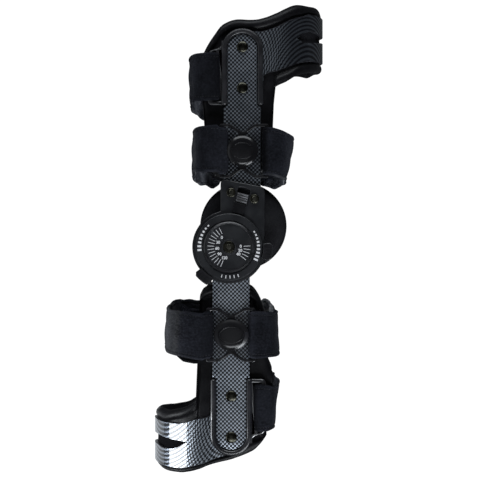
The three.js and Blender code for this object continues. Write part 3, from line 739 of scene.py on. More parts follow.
def makeBars():
    for flank, side in flanks.items():
        for part, body in bodies.items():
            meshes = [slabMesh("bar", [barLoop(bars[part])], *layers["bar"], bars["edge"])]
            if part == "calf":
                meshes.append(slabMesh("barHead", [circle(bars["headRadius"], 72)], *layers["bar"], bars["edge"]))
            mesh = settle(joinMeshes("bar", meshes), side)
            spots = np.array([vertex.co for vertex in mesh.vertices]) * 1000
            counts = [((y - x) / bars["tow"], (y + x) / bars["tow"]) for x, y in spots[:, :2]]
            mapWeave(mesh, counts, [0.0] * len(spots))
            # painted light and shade on the bar's film, from the table above
            pointValues(mesh, "paintedTowLight", readRow(bars["shade"], spots[:, 1]))
            faceMaterial(mesh, lambda face: 0 if face.normal.z * side > bars["filmFrom"] else 1)
            addPiece(part + "Bar" + flank.title(), mesh, [filmFace, shellBack], body, "woven_film",
                     f"{part}_bar_{flank}")


makeBars()
print("side bars")


# Bar-end holders with their slotted ears, and the rivets through them
holders = {
    "outer": 18.6, "inner": 13.8, "leg": 50.5, "footRise": 1.5, "footCut": 1.2, "rim": (62.6, 68.5), "shineEnd": -14.0,
    "thighRim": (1.9, 5), "calfRim": (2.3, 6), "earTop": 66.6, "earRound": 1.6, "earRoot": 1.4,
    "reach": 31.0, "bar": 4.5, "arm": 4.0, "middle": -24.7, "slotHeight": 44.0, "flare": 6.5,
}
rivets = {"radius": 5.1, "seat": 66.4, "rise": 2.2, "lip": 0.35, "foot": 59.6, "shank": 2.4,
          "offsets": {"end": 2.0, "shoulder": -35.0}}


def holderMesh(rimRound, rimSteps):
    h = holders
    outer, inner, cut, arm, flare, far = h["outer"], h["inner"], h["footCut"], h["arm"], h["flare"], -h["reach"]
    foot, lift = -h["leg"], -h["leg"] + h["footRise"]
    rim = [(outer, lift), (outer, h["shineEnd"])] + arc(outer, 0, 180, 48)
    rim += [(-outer, lift), (-outer + cut, foot), (-inner - cut, foot), (-inner, lift)]
    rim += arc(inner, 180, 0, 40) + [(inner, lift), (inner + cut, foot), (outer - cut, foot)]
    top, low = h["middle"] + h["slotHeight"] / 2, h["middle"] - h["slotHeight"] / 2
    root, corner, slotEnd = -outer + h["earRoot"], arm * 1.2, far + h["bar"]
    ear = softened([(root, low - arm, 0.6), (root, top + arm + flare, 0.3), (root - 1.2, top + arm + flare * 0.45, 2.0),
                    (root - 4.2, top + arm * 0.85, 4.0), (far, top + arm * 0.3, corner), (far, low - arm, corner)])
    slot = softened([(slotEnd, low, 1.2), (-outer, low, 0.4), (-outer, top, 0.4), (slotEnd, top, 1.2)])
    return joinMeshes("holder", [slabMesh("rim", [rim], *h["rim"], rimRound, rimSteps),
                                 slabMesh("ear", [ear, slot], h["rim"][0], h["earTop"], h["earRound"], 4)])


def rivetMesh():
    radius, shank, seat, foot = rivets["radius"], rivets["shank"], rivets["seat"], rivets["foot"]
    lip, rise = seat + rivets["lip"], rivets["rise"] - rivets["lip"]
    dome = [(radius * math.cos(a), lip + rise * math.sin(a)) for a in np.linspace(0.12, math.pi / 2, 9)]
    dome[-1] = (0, dome[-1][1])
    stem = [(0, foot), (shank, foot), (shank, seat), (radius - 0.1, seat), (radius, seat + 0.2)]
    return turnedMesh("rivet", stem + dome, 48)


def holderFace(face):
    # 0 flat faces, 1 the ear's bevels and the rim's bevels towards the lamps, which the calf holder gives a much
    # glossier copy as painted highlight, 2 other bevels
    if not 0.2 < face.normal.z < 0.95:
        return 0
    onEar = face.center.x < -18.8
    onRim = face.normal.x > 0.3 and face.center.x > 0 and face.center.y < holders["shineEnd"]
    return 1 if onEar or onRim else 2


def makeHolders():
    # the calf holder wears glossier copies of the black plastic on its bevels, as painted highlight
    skins = {"thigh": [mouldedBlack] * 3, "calf": [mouldedBlack, highlightGloss, edgeBlack]}
    for flank, side in flanks.items():
        for part, body in bodies.items():
            row, end = bars[part], flank.title()
            mesh = holderMesh(*holders[part + "Rim"])
            faceMaterial(mesh, holderFace)
            settle(mesh, side, row["x"], row["end"], 0 if row["up"] > 0 else 180)
            addPiece(part + "Holder" + end, mesh, skins[part], body, "black_plastic",
                     f"{part}_holder_{flank}", sharp=40)
            for place, offset in rivets["offsets"].items():
                mesh = settle(rivetMesh(), side, row["x"], row["end"] + row["up"] * offset)
                addPiece(part + "Rivet" + place.title() + end, mesh, [darkBronze], body, "dark_metal",
                         f"{part}_rivet_{place}_{flank}")


makeHolders()
print("holders and rivets")


# Bow-tie yokes and the buttons they swivel on
yokes = {
    "halfHeight": 24.4, "slotHalf": 21.6, "slack": 1.9, "barWidth": 3.0, "armStart": 11.0, "armWall": 0.8,
    "apex": 16.5, "apexWall": 0.6, "web": 3.5, "hub": 10.0, "eye": 5.9, "round": 0.8, "shineFrom": 14.0,
    "thigh": {"x": 12.0, "y": 86.2, "left": 15.7, "right": 18.8, "oval": 1.0},
    # the calf button is made wider across than the thigh's, its dark sides standing in for painted shade beside it
    "calf": {"x": 2.0, "y": -78.8, "left": 17.6, "right": 17.0, "oval": 1.12},
}
buttons = {"radius": 14.0, "post": 5.5, "flange": 9.0, "seat": 66.4, "under": 71.8, "top": 75.9,
           "ring": (9.4, 7.2, 0.3), "ringDepth": 0.34, "flangeGap": 0.3}


def andMirrored(corners, between=()):
    # corners below, then the same ones above in the other order
    return corners + list(between) + [(x, -y, ease) for x, y, ease in reversed(corners)]


def yokeMesh(left, right):
    y = yokes
    half, arm, web, apex = y["halfHeight"], y["armStart"], y["web"], y["apex"]
    reach = {-1: -(left + y["slack"] + y["barWidth"]), 1: right + y["slack"] + y["barWidth"]}
    plate = andMirrored([(reach[-1], -half, 2.4), (-arm, -half, 2), (0, -apex, 3), (arm, -half, 2),
                         (reach[1], -half, 2.4)])
    angle = math.degrees(math.acos(web / y["hub"]))
    loops = [softened(plate), list(reversed(circle(y["eye"], 40)))]
    for sign, middle in ((-1, 180), (1, 0)):
        hub = [(px, py, 0) for px, py in arc(y["hub"], middle - sign * angle, middle + sign * angle, 20)]
        slot = [(reach[sign] - sign * y["barWidth"], -y["slotHalf"], 1.2),
                (sign * (arm + y["armWall"]), -y["slotHalf"], 1.5), (sign * web, -apex + y["apexWall"], 1)]
        loops.append(softened(andMirrored(slot, hub)))
    return slabMesh("yoke", loops, *layers["yoke"], y["round"], 3)


def buttonMesh():
    b = buttons
    radius, post, flange, under, top = b["radius"], b["post"], b["flange"], b["under"], b["top"]
    below = layers["yoke"][0] - b["flangeGap"]
    low = [(0, b["seat"]), (flange, b["seat"]), (flange, below), (post, below), (post, under)]
    cap = softened([(post, under, 0), (radius - 0.3, under, 0.3), (radius, under + 0.6, 0.4), (radius, top - 2.7, 1.2),
                    (radius - 3.0, top - 0.75, 2.4), (radius - 7.0, top - 0.2, 3.4), (0, top, 0)], closed=False)
    return joinMeshes("button", [turnedMesh("buttonBody", low + cap[1:], 80),
                                 ringMesh("buttonRing", *b["ring"], top - b["ringDepth"])])


def buttonFace(face):
    # 0 glossy cap, 1 a dull copy away from the light, as painted shade, 2 a paler and glossier copy on the lit
    # shoulder, as painted highlight
    if face.normal.y > 0.12 or face.normal.x < -0.3:
        return 1
    return 2 if face.normal.x > 0.1 and face.normal.z < 0.95 else 0


def makeYokes():
    for flank, side in flanks.items():
        for part, body in bodies.items():
            row, end = yokes[part], flank.title()

            def yokeFace(face):
                # 0 dull, 1 a glossy copy on the lower bevels, 2 a still glossier copy on the calf's outer lower bevels;
                # both are painted highlights
                if face.normal.y >= -0.3 or face.normal.z <= 0.25:
                    return 0
                return 2 if part == "calf" and abs(face.center.x) > yokes["shineFrom"] else 1

            yoke = yokeMesh(row["left"], row["right"])
            faceMaterial(yoke, yokeFace)
            addPiece(part + "Yoke" + end, settle(yoke, side, row["x"], row["y"]), [yokeBlack, glossBlack, highlightGloss],
                     body, "black_plastic", f"{part}_yoke_{flank}", sharp=40)
            button = buttonMesh()
            button.transform(Matrix.Diagonal((row["oval"], 1, 1, 1)))
            if part == "calf":
                faceMaterial(button, buttonFace)
            addPiece(part + "Button" + end, settle(button, side, row["x"], row["y"]),
                     [glossBlack, yokeBlack, edgeBlack], body, "black_plastic", f"{part}_button_{flank}")


makeYokes()
print("yokes and buttons")


# Hinge: plate, cover with neck, dial, bolt, screws, slide and stops
hinge = {
    "cover": 33.0, "housing": 30.2, "dial": 22.8, "bore": 5.6, "bolt": 4.6, "boltHead": 5.2, "boltSocket": 2.4,
    "left": -7.6, "right": 32.0, "topLeft": 61.4, "topRight": 53.7, "corner": 5.0, "tilt": -15.0,
    "plateInset": 1.0, "boltGap": 0.4, "pan": (66.16, 66.6),
    "screw": {"along": 47.7, "across": 10.8, "head": 4.2, "shank": 2.2, "height": 1.8, "seat": 70.7, "socket": 2.0},
    "slide": {"along": 45.5, "width": 10.6, "length": 8.2, "travel": 4.0, "clear": 0.3, "bow": 4.0, "ribs": 4,
              "top": 72.0},
    "tongue": {"width": 10.8, "from": 30.6, "to": 40.4, "taper": 0.94, "w": (70.2, 71.9)},
    "stop": {"inner": 30.6, "outer": 39.4, "half": 13.0, "outerHalf": 9.0, "low": 70.7, "high": 75.2, "edge": 2.5,
             "angles": {"flexion": 230.0, "extension": -7.0}, "grips": 3, "gripStep": 5.0},
}


def hingeLoop(inset=0.0):
    h = hinge
    radius, left, right = h["cover"] - inset, h["left"] + inset, h["right"] - inset
    foot = {x: math.sqrt(radius ** 2 - x ** 2) for x in (left, right)}
    head = softened([(right, foot[right], 0), (right, h["topRight"] - inset, h["corner"]),
                     (left, h["topLeft"] - inset, h["corner"]), (left, foot[left], 0)], closed=False)
    start, end = [math.degrees(math.acos(x / radius)) for x in (left, right)]
    return head[:-1] + arc(radius, start, 360 + end, 96)[:-1]


def slotLoop(grow=0.0):
    s, a = hinge["slide"], math.radians(hinge["tilt"])
    half, foot = s["width"] / 2 + s["clear"] + grow, s["along"] - s["length"] / 2 - s["clear"] - grow
    crown = s["along"] + s["length"] / 2 + s["travel"] + s["clear"] + grow
    bow = [(half * (1 - t) - half * t, crown + s["bow"] * t * (1 - t)) for t in np.linspace(0.1, 0.9, 9)]
    loop = [(-half, foot), (half, foot), (half, crown)] + bow + [(-half, crown)]
    return [(x * math.cos(a) - y * math.sin(a), x * math.sin(a) + y * math.cos(a)) for x, y in reversed(loop)]


def coverMesh():
    h, top, (low, high) = hinge, layers["housing"], layers["neck"]
    wall, bore, rim, step = h["housing"], h["bolt"] + h["boltGap"], h["dial"] + 1.2, top - 0.5
    profile = softened([(bore, low, 0), (wall + 0.2, low + 1.0, 0), (wall + 0.2, high + 0.1, 0.4),
                        (wall, high + 0.6, 0.4), (wall, top, 1.3), (rim, top, 0.4), (rim - 0.5, step, 0.2),
                        (bore, step, 0)], closed=False)
    return joinMeshes("cover", [slabMesh("coverBase", [hingeLoop(), slotLoop()], low, high, 0.9, 4),
                                turnedMesh("housing", profile + [profile[0]], 120),
                                slabMesh("slidePan", [slotLoop(1.2)], *h["pan"], 0.05, 1)])


def tongueMesh():
    # the latch tongue that runs from the slide down to the housing
    t = hinge["tongue"]
    half, far = t["width"] / 2, t["width"] / 2 * t["taper"]
    loop = [(-half, t["from"], 0.5), (half, t["from"], 0.5), (far, t["to"], 1.0), (-far, t["to"], 1.0)]
    return slabMesh("tongue", [softened(loop)], *t["w"], 0.5, 3)


def pinMesh(name, radius, low, high, sides):
    return turnedMesh(name, [(0, low), (radius, low), (radius, high), (0, high)], sides)


def screwMesh():
    # a round head with a six-sided socket
    s = hinge["screw"]
    low, high = s["seat"], s["seat"] + s["height"]
    head = slabMesh("screwHead", [circle(s["head"], 48), list(reversed(circle(s["socket"], 6)))], low, high, 1.0, 4)
    return joinMeshes("screw", [head, pinMesh("screwShank", s["shank"], layers["plate"][0], low + 0.5, 24)])


def boltMesh():
    h, (low, high) = hinge, layers["dial"]
    shank = pinMesh("boltShank", h["bolt"], layers["plate"][0], low + 0.3, 48)
    socket = list(reversed(circle(h["boltSocket"], 6, 15)))
    return joinMeshes("bolt", [shank, slabMesh("boltHead", [circle(h["boltHead"], 56), socket], low, high, 0.4, 3)])


def dialMesh():
    rim, bore, (low, high) = hinge["dial"], hinge["bore"], layers["dial"]
    sunk, collar = high - 0.85, high - 0.4
    profile = softened([(bore, low, 0), (rim, low, 0.2), (rim, high - 0.9, 0.3), (rim - 1.35, high, 0.3),
                        (rim - 1.9, high, 0.3), (rim - 2.2, sunk, 0.3), (bore + 1.5, sunk, 0.3),
                        (bore + 1.0, collar, 0.25), (bore, collar, 0.1)], closed=False)
    return turnedMesh("dial", profile + [profile[0]], 112)


def stopMesh():
    s = hinge["stop"]
    edge, half, inner, step = s["outer"] - s["edge"], s["half"], s["inner"], s["gripStep"]
    loop = arc(s["outer"], -s["outerHalf"], s["outerHalf"], 10) + arc(edge, half, half, 0)
    loop += arc(inner, half, -half, 12) + arc(edge, -half, -half, 0)
    grips = fanMesh(hingeGrey, -step * (s["grips"] - 1) / 2, step, Count=s["grips"], Inner=inner + 3.0,
                    Length=s["outer"] - inner - 4.4, Width=0.8, Depth=0.7, Height=s["high"] + 0.1)
    return joinMeshes("stop", [slabMesh("stopBlock", [loop], s["low"], s["high"], 1.5, 5), closeUp(grips)])


def slideMesh():
    s = hinge["slide"]
    half, run, pitch = s["width"] / 2, s["length"] / 2, s["length"] / s["ribs"]
    loop = softened([(-half, -run, 0.9), (half, -run, 0.9), (half, run, 0.9), (-half, run, 0.9)])
    block = slabMesh("slideBlock", [loop], layers["neck"][0] + 0.3, s["top"] - 0.9, 0.4, 3)
    ribs = runNodes("slideRibs", bpy.data.meshes.new("start"), ribRun, {
        "Count": s["ribs"], "Pitch": pitch, "Width": s["width"] - 1.0, "Thickness": pitch * 0.31,
        "Height": s["top"] - 0.75, "Material": slideGrey})
    return joinMeshes("slide", [block, closeUp(ribs)])


def coverFace(face):
    # 1 the bevels above the housing, in a glossier copy as painted highlight, 0 elsewhere
    beyond = face.center.y > 6 and face.center.xy.length > hinge["dial"] + 2
    return 1 if 0.25 < face.normal.z < 0.94 and beyond else 0


def dialFace(face):
    # 0 inside the rim, 1 upper rim, a glossier copy as painted highlight, 2 lower rim, a darker dull copy as painted
    # shade
    if face.center.xy.length < hinge["dial"] - 2.0:
        return 0
    return 1 if face.center.y > -5 else 2


def makeHinges():
    upper, tilt, screw, slide = bodies["thigh"], hinge["tilt"], hinge["screw"], hinge["slide"]
    for flank, side in flanks.items():
        end = flank.title()
        plate = slabMesh("plate", [hingeLoop(hinge["plateInset"])], *layers["plate"], 0.4, 2)
        addPiece("hingePlate" + end, settle(plate, side), [plateSteel], upper, "plate_metal", f"hinge_plate_{flank}")
        cover, dial = coverMesh(), dialMesh()
        faceMaterial(cover, coverFace)
        faceMaterial(dial, dialFace)
        addPiece("hingeCover" + end, settle(cover, side), [hingeGrey, mouldedBlack], upper, "hinge_plastic",
                 f"hinge_cover_{flank}", sharp=30)
        addPiece("hingeDial" + end, settle(dial, side), [hingeGrey, mouldedBlack, yokeBlack], upper, "hinge_plastic",
                 f"hinge_dial_{flank}", sharp=30)
        addPiece("pivotBolt" + end, settle(boltMesh(), side), [darkBronze], upper, "dark_metal", f"pivot_bolt_{flank}")
        for place, sign in (("back", -1), ("front", 1)):
            mesh = settle(screwMesh(), side, sign * screw["across"], screw["along"], 0, tilt)
            addPiece("neckScrew" + place.title() + end, mesh, [darkBronze], upper, "dark_metal",
                     f"neck_screw_{place}_{flank}")
        addPiece("lockSlide" + end, settle(slideMesh(), side, 0, slide["along"], 0, tilt), [slideGrey], "lock_" + flank,
                 "hinge_plastic", f"lock_slide_{flank}")
        # the tongue's finish is darker than the cover's, as painted shade of the slot
        addPiece("lockTongue" + end, settle(tongueMesh(), side, 0, 0, 0, tilt), [latchBlack], upper, "hinge_plastic")
        for kind, angle in hinge["stop"]["angles"].items():
            stop = stopMesh()
            # stop tops in a dull dark copy; the extension stop's sides a glossier copy as painted highlight, the
            # flexion stop dull all over as painted shade
            faceMaterial(stop, lambda face: 0 if face.normal.z > 0.9 else 1)
            sides = yokeBlack if kind == "flexion" else mouldedBlack
            addPiece(kind + "Stop" + end, settle(stop, side, 0, 0, 0, angle), [yokeBlack, sides],
                     f"{kind}_stop_{flank}", "hinge_plastic", f"{kind}_stop_{flank}")


makeHinges()
print("hinges")


# White printing on the dial and housing
marks = {
    "lift": 0.03, "depth": 0.05, "sunk": 0.85, "numberSize": 3.6, "numberBold": 0.11, "numberRadius": 10.6,
    # start and step in degrees, count, and the number beside a tick
    "dial": [(117.0, 10.0, 14, {1: "0", 4: "30", 7: "60", 10: "90", 13: "120"}),
             (3.0, -10.0, 5, {0: "0", 2: "20", 4: "40"})],
    "tick": {"Inner": 13.2, "Length": 6.0, "Width": 0.42},
    "wedges": [(134.0, 7.4, 8), (31.0, -7.0, 9)],
    "wedge": {"Inner": 25.9, "Length": 1.2, "Growth": 0.36, "Width": 1.7},
    "foot": (-104.0, 8.0, 5), "footTick": {"Inner": 25.4, "Length": 2.8, "Width": 0.7},
}


def numberMesh(text):
    curve = bpy.data.curves.new("number", "FONT")
    curve.body, curve.size, curve.offset = text, marks["numberSize"], marks["numberBold"]
    curve.align_x, curve.align_y = "CENTER", "CENTER"
    curve.extrude, curve.resolution_u = 0.03, 4
    return closeUp(curveMesh("number", curve), 1e-5)


def makeMarks():
    face, rim = layers["dial"][1] - marks["sunk"] + marks["lift"], layers["housing"] + marks["lift"]
    radius = marks["numberRadius"]
    for flank, side in flanks.items():
        made = []

        def addFan(start, step, count, sizes, height):
            made.append(fanMesh(printWhite, start, step, Count=count, Depth=marks["depth"], Height=height, **sizes))

        for start, step, count, numbers in marks["dial"]:
            addFan(start, step, count, marks["tick"], face)
            for index, text in numbers.items():
                a = math.radians(start + index * step)
                number = numberMesh(text)
                number.transform(Matrix.Diagonal((side, 1, 1, 1)))  # keeps the figures readable on the mirrored flank
                number.transform(Matrix.Translation((radius * math.cos(a), radius * math.sin(a), face)))
                made.append(closeUp(number, 1e-5))
        for row in marks["wedges"]:
            addFan(*row, marks["wedge"], rim)
        addFan(*marks["foot"], marks["footTick"], rim)
        mesh = settle(joinMeshes("marks", made), side)
        addPiece("dialMarks" + flank.title(), mesh, [printWhite], bodies["thigh"], "hinge_plastic")


makeMarks()
print("dial marks")


# Moulded shells round the front of the thigh and the back of the calf
wraps = {
    "thigh": {"forward": 1, "bend": 25.0, "reach": 62.5}, "calf": {"forward": -1, "bend": -8.0, "reach": 62.0},
    "shellEnd": 97.0, "linerEnd": 93.0, "outermost": 62.3,
}
shells = {
    "outer": 62.3, "thickness": 2.8, "across": 26, "step": 2.0, "edge": 0.7, "ventRun": (14.0, 90.0), "leastRow": -0.16,
    "rows": {"thigh": {"steep": 0.36, "from": 15.0, "fall": 0.0101, "at": 178.0, "y": 0.222, "yy": 0.00124},
             "calf": {"steep": 0.36, "from": 8.0, "fall": 0.0073, "at": -175.6, "y": 0.2436, "yy": -0.0008}},
    "cross": {"thigh": {"at": (13.75, 180.3), "clamp": 16.0, "x": 0.382, "y": 0.0604, "xx": 0.0047, "xy": -0.0057,
                        "yy": 0.00225},
              "calf": {"at": (17.6, -175.6), "clamp": 14.0, "x": -0.3156, "y": 0.082, "xx": -0.00575, "xy": -0.0055,
                       "yy": -0.00185}},
    # fade is (from, over, most) in degrees of turn: it fades the cross tows and also sets the tows' painted shade
    "fade": {"thigh": (15.0, 17.0, 0.88), "calf": (24.0, 30.0, 0.75)},
    # glaze adds coat weight; the tow shade darkens all of the thigh shell's tows, as painted shade
    "glaze": {"thigh": 0.0, "calf": 0.6}, "paintedTowLight": {"thigh": -0.14, "calf": 0.0},
    # (along the wrap, lower edge, upper edge)
    "thigh": [(-29, 130, 184), (-25, 128.5, 190), (-13, 128.5, 195.5), (5, 128.5, 195), (6, 154, 195.2),
              (20, 159.5, 200), (32, 164, 206), (43, 167.5, 209.5), (60, 170, 213.5), (97, 171, 213)],
    "calf": [(-25, -174, -121), (-22, -180, -119.5), (-10, -186.5, -119.5), (7, -192.5, -119.5), (8, -193, -151),
             (22, -198, -155.5), (43, -202, -160.5), (65, -201, -160), (97, -198, -158)],
    "vent": {"thigh": [(0, 190.0, 195.8), (20, 188.9, 195.9), (36, 187.1, 197.8), (44, 186.4, 195.4),
                       (48, 187.6, 192.4), (50.5, 189.6, 190.2)],
             "calf": [(0, -181.6, -172.2), (19, -182.6, -172.8), (34, -184.7, -174.4), (42, -184.6, -175.5),
                      (49, -182.2, -176.2), (54.5, -177.6, -176.9)]},
}


def wrapSpot(wrap, along, outer, end):
    # a point of a bent sheet: flat on the flank, then a quarter round to the middle plane
    radius = wrap["reach"] - (wraps["outermost"] - outer)
    angle = max(0.0, along) / end * math.pi / 2
    return wrap["bend"] + wrap["forward"] * (min(0.0, along) + radius * math.sin(angle)), outer * math.cos(angle), angle


def bothHalves(stops):
    # stations of the outer half, then of the inner half back again
    return [(along, 1) for along in stops] + [(along, -1) for along in reversed(stops[:-1])]


def rowTurns(part, along):
    # tow rows counted along the wrap: crowded on the flank, level part way round, then running back
    row = shells["rows"][part]
    count, step = row["steep"] * min(along, 0.0), max(0.0, along) / 40
    for k in range(40):
        turn = (k + 0.5) * step / wraps["shellEnd"] * 90
        count += step * max(shells["leastRow"], row["steep"] - row["fall"] * max(0.0, turn - row["from"]))
    return count


def crossTurns(part, along, y):
    # the second tow family, bent by the moulding; straight again past the clamp
    row = shells["cross"][part]
    dx, dy = along - row["at"][0], y - row["at"][1]
    held = min(dx, row["clamp"])
    bent = row["xx"] * (held * held + 2 * held * (dx - held))
    return row["x"] * dx + row["y"] * dy + bent + row["xy"] * held * dy + row["yy"] * dy * dy


def ventPrism(part):
    wrap, rows = wraps[part], shells["vent"][part]
    read, reach = easeTable(rows), rows[-1][0]
    spread = [reach * math.sin(t * math.pi / 2) for t in np.linspace(-1, 1, 61)]
    loop = [(read(abs(w))[1], w) for w in spread] + [(read(abs(w))[0], w) for w in reversed(spread)]
    count = len(loop)
    points = [(wrap["bend"] + wrap["forward"] * run, y, w) for run in shells["ventRun"] for y, w in loop]
    faces = [tuple(range(count)), tuple(range(2 * count - 1, count - 1, -1))]
    return closeUp(rawMesh("ventPrism", points, faces + gridFaces(2, count)))


def shellMesh(part):
    wrap, rows, across, end = wraps[part], shells[part], shells["across"], wraps["shellEnd"]
    read, start, row = easeTable(rows), rows[0][0], shells["rows"][part]
    stops = list(np.arange(start, end, shells["step"])) + [end] + [place for place, low, high in rows]
    stations = bothHalves(sorted(set(stops + [start + 0.5, start + 1.0])))
    rowCounts = {along: rowTurns(part, along) for along, half in stations}
    fadeFrom, fadeRun, fadeMost = shells["fade"][part]
    ring = [(t, 0.0) for t in np.linspace(0, 1, across)] + [(t, shells["thickness"]) for t in np.linspace(1, 0, across)]
    points, counts, fades = [], [], []
    for along, half in stations:
        low, high = read(along)
        for t, depth in ring:
            x, w, angle = wrapSpot(wrap, along, shells["outer"] - depth, end)
            y = low + (high - low) * t
            if t in (0, 1) and not depth:  # outer edges a little rounded
                y += shells["edge"] if t == 0 else -shells["edge"]
            points.append((x, y, w * half))
            rise = y - row["at"]
            along1 = wrap["forward"] * rowCounts[along] - row["y"] * rise - row["yy"] * rise * rise
            counts.append((along1, crossTurns(part, along, y)))
            fades.append(min(fadeMost, max(0.0, (math.degrees(angle) - fadeFrom) / fadeRun)))
    ringSize = 2 * across
    faces = gridFaces(len(stations), ringSize)
    last = (len(stations) - 1) * ringSize
    for k in range(across - 1):
        m = ringSize - 1 - k
        faces += [(k, m, m - 1, k + 1), (last + k, last + k + 1, last + m - 1, last + m)]
    mesh = rawMesh(part + "Shell", points, faces)
    mapWeave(mesh, counts, fades)
    return closeUp(mesh, 0)


def cutBy(mesh, tool):
    target, cutter = newObject("cutTarget", mesh), newObject("cutTool", tool)
    modifier = target.modifiers.new("vent", "BOOLEAN")
    modifier.operation, modifier.object, modifier.solver = "DIFFERENCE", cutter, "EXACT"
    made = bakeMesh(target)
    bpy.data.objects.remove(target)
    bpy.data.objects.remove(cutter)
    made.materials.clear()
    return made


def makeShells():
    for part, body in bodies.items():
        mesh, wrap = cutBy(shellMesh(part), ventPrism(part)), wraps[part]

        def outward(face):
            # 0 the film's side, 1 the back and the edges
            x, w = face.center.xz
            ahead = max(0.0, (x - wrap["bend"]) * wrap["forward"])
            away = Vector((wrap["forward"] * ahead, 0, w)).normalized()
            return 0 if face.normal.dot(away) > 0.6 else 1

        faceMaterial(mesh, outward)
        settle(mesh, 1)
        # each shell's extra coat, and the painted shade on its tows
        for name in ("glaze", "paintedTowLight"):
            pointValues(mesh, name, [shells[name][part]] * len(mesh.vertices))
        addPiece(part + "Shell", mesh, [filmFace, shellBack], body, "woven_film", f"{part}_shell", sharp=40)


makeShells()
print("shells")


# Padded liners with a rolled edge
liners = {
    "outer": 59.2, "thickness": 8.0, "step": 2.0, "roll": 5.2, "freeRoll": 6.4, "freeRun": 8.0, "bulge": 2.6,
    "capRun": 6.0, "flareFrom": -18, "flareRun": 24,
    "leastRoll": {"top": 2.6, "foot": 2.0}, "rollFrom": {"top": 19, "foot": 15}, "flare": (7.0, -119.0, 13.0),
    "tuck": [(12, 0), (20, 9.5), (32, 10.5), (44, 6.8), (60, 0.8), (70, 1.5), (93, 0)],  # drawn in on the hidden half
    "ventPaintFrom": 18, "ventPaintRows": range(2, 21), "ripple": 0.14, "sway": 0.5,
    # (along the wrap, lower edge, upper edge)
    "thigh": [(-49, 130, 174), (-44, 74, 184), (-38, 66, 193), (-31, 65, 201), (-13, 65, 206.4), (0, 65, 206),
              (8, 66, 207.4), (13, 74, 209.4), (16, 143, 211), (20, 146.5, 213), (28, 150, 217), (41, 156, 220.5),
              (62, 160.5, 221.6), (93, 162, 217.5)],
    "calf": [(-42, -170, -62), (-37, -177, -48), (-29, -185, -38), (-13, -191, -33.5), (0, -194.5, -33.5),
             (14, -199, -36), (19, -201, -44), (21, -201.5, -135), (28, -203.5, -142), (41, -206, -147.5),
             (62, -205, -149.5), (93, -201.5, -150)],
}


def rollRing(low, high, topRoll, footRoll):
    # one cross-section as (depth, y): outer face up, round the top roll, inner face down, round the foot roll
    def roll(radius, y, sign):
        inset = radius - liners["bulge"] * min(1.0, radius / liners["roll"])
        first = -math.acos(max(-1.0, min(1.0, inset / radius)))
        return [(inset - radius * math.cos(a), y - sign * (radius - radius * math.sin(a)))
                for a in np.linspace(first, math.pi, 16)]

    top, foot = roll(topRoll, high, 1), roll(footRoll, low, -1)
    startY, endY = foot[0][1], top[0][1]
    spread = np.linspace(0.04, 0.96, 24)
    ring = [(0.0, startY + (endY - startY) * t) for t in spread] + top
    innerTop, innerFoot = top[-1], foot[-1]
    for t in spread:
        ease = min(1.0, 8 * min(t, 1 - t))
        depth = innerTop[0] + (liners["thickness"] - innerTop[0]) * ease
        ring.append((depth, innerTop[1] + (innerFoot[1] - innerTop[1]) * t))
    return ring + list(reversed(foot))


def share(value):
    return min(1.0, max(0.0, value))


def linerRolls(part, along, low, high):
    # the rolled edges are as thick as the room beside the shell, and free where there is no shell
    first, least, since = shells[part][0][0], liners["leastRoll"], liners["rollFrom"]
    beside = along * wraps["shellEnd"] / wraps["linerEnd"] if along > 0 else along
    shellLow, shellHigh = easeTable(shells[part])(np.clip(beside, first, wraps["shellEnd"]))
    free = liners["roll"] + (liners["freeRoll"] - liners["roll"]) * share((first - along) / liners["freeRun"])
    topRoll = footRoll = free
    if along >= first and (part == "thigh" or along > since["top"]):
        topRoll = max(least["top"], min(free, (high - shellHigh) / 2.0))
    if part == "calf" or along > since["foot"]:
        footRoll = max(least["foot"], min(free, (shellLow - low) / 2.0))
    return topRoll, footRoll


def linerMesh(part):
    wrap, rows, end, start = wraps[part], liners[part], wraps["linerEnd"], liners[part][0][0]
    read, middleDepth = easeTable(rows), liners["thickness"] / 2
    lead = [start + 0.15, start + 0.5, start + 1.0, start + 3.0]
    stations = bothHalves(sorted(set(list(np.arange(start, end, liners["step"])) + [end] + lead)))
    spread, at, wide = liners["flare"]
    points = []
    for along, half in stations:
        low, high = read(along)
        tuck = float(readRow(liners["tuck"], along)) if half < 0 else 0.0
        low, high = (low + tuck, high) if part == "thigh" else (low, high - tuck * 0.4)
        ring = rollRing(low, high, *linerRolls(part, along, low, high))
        cap = min(1.0, (along - start) / liners["capRun"])
        full = math.sqrt(max(0.0, 1 - (1 - cap) ** 2))
        middle = (low + high) / 2
        for depth, y in ring:
            depth = middleDepth + (depth - middleDepth) * full
            # soft unevenness of the foam
            ripple = liners["ripple"] * math.sin(along * 0.23 + y * 0.11) * math.sin(y * 0.17 - along * 0.05)
            ripple *= 1.0 if depth < middleDepth else -1.4
            x, w = wrapSpot(wrap, along, liners["outer"] - depth + ripple, end)[:2]
            if part == "calf":  # the free front edge spreads a little above the lower strap
                opened = share((liners["flareFrom"] - along) / liners["flareRun"]) ** 2
                x += spread * math.exp(-((y - at) / wide) ** 2) * opened
            sway = liners["sway"] * math.sin(along * 0.19) * (1 if y > middle else 0.6)
            points.append((x, y + sway, w * half))
    ringSize = len(ring)
    mesh = rawMesh(part + "Liner", points, gridFaces(len(stations), ringSize))
    for index, face in enumerate(mesh.polygons):  # faces behind the vent get a dull finish: painted light on the thigh, painted shade on the calf
        behindVent = stations[index // ringSize][0] > liners["ventPaintFrom"]
        face.material_index = 1 if behindVent and index % ringSize in liners["ventPaintRows"] else 0
    return closeUp(mesh, 0.02)


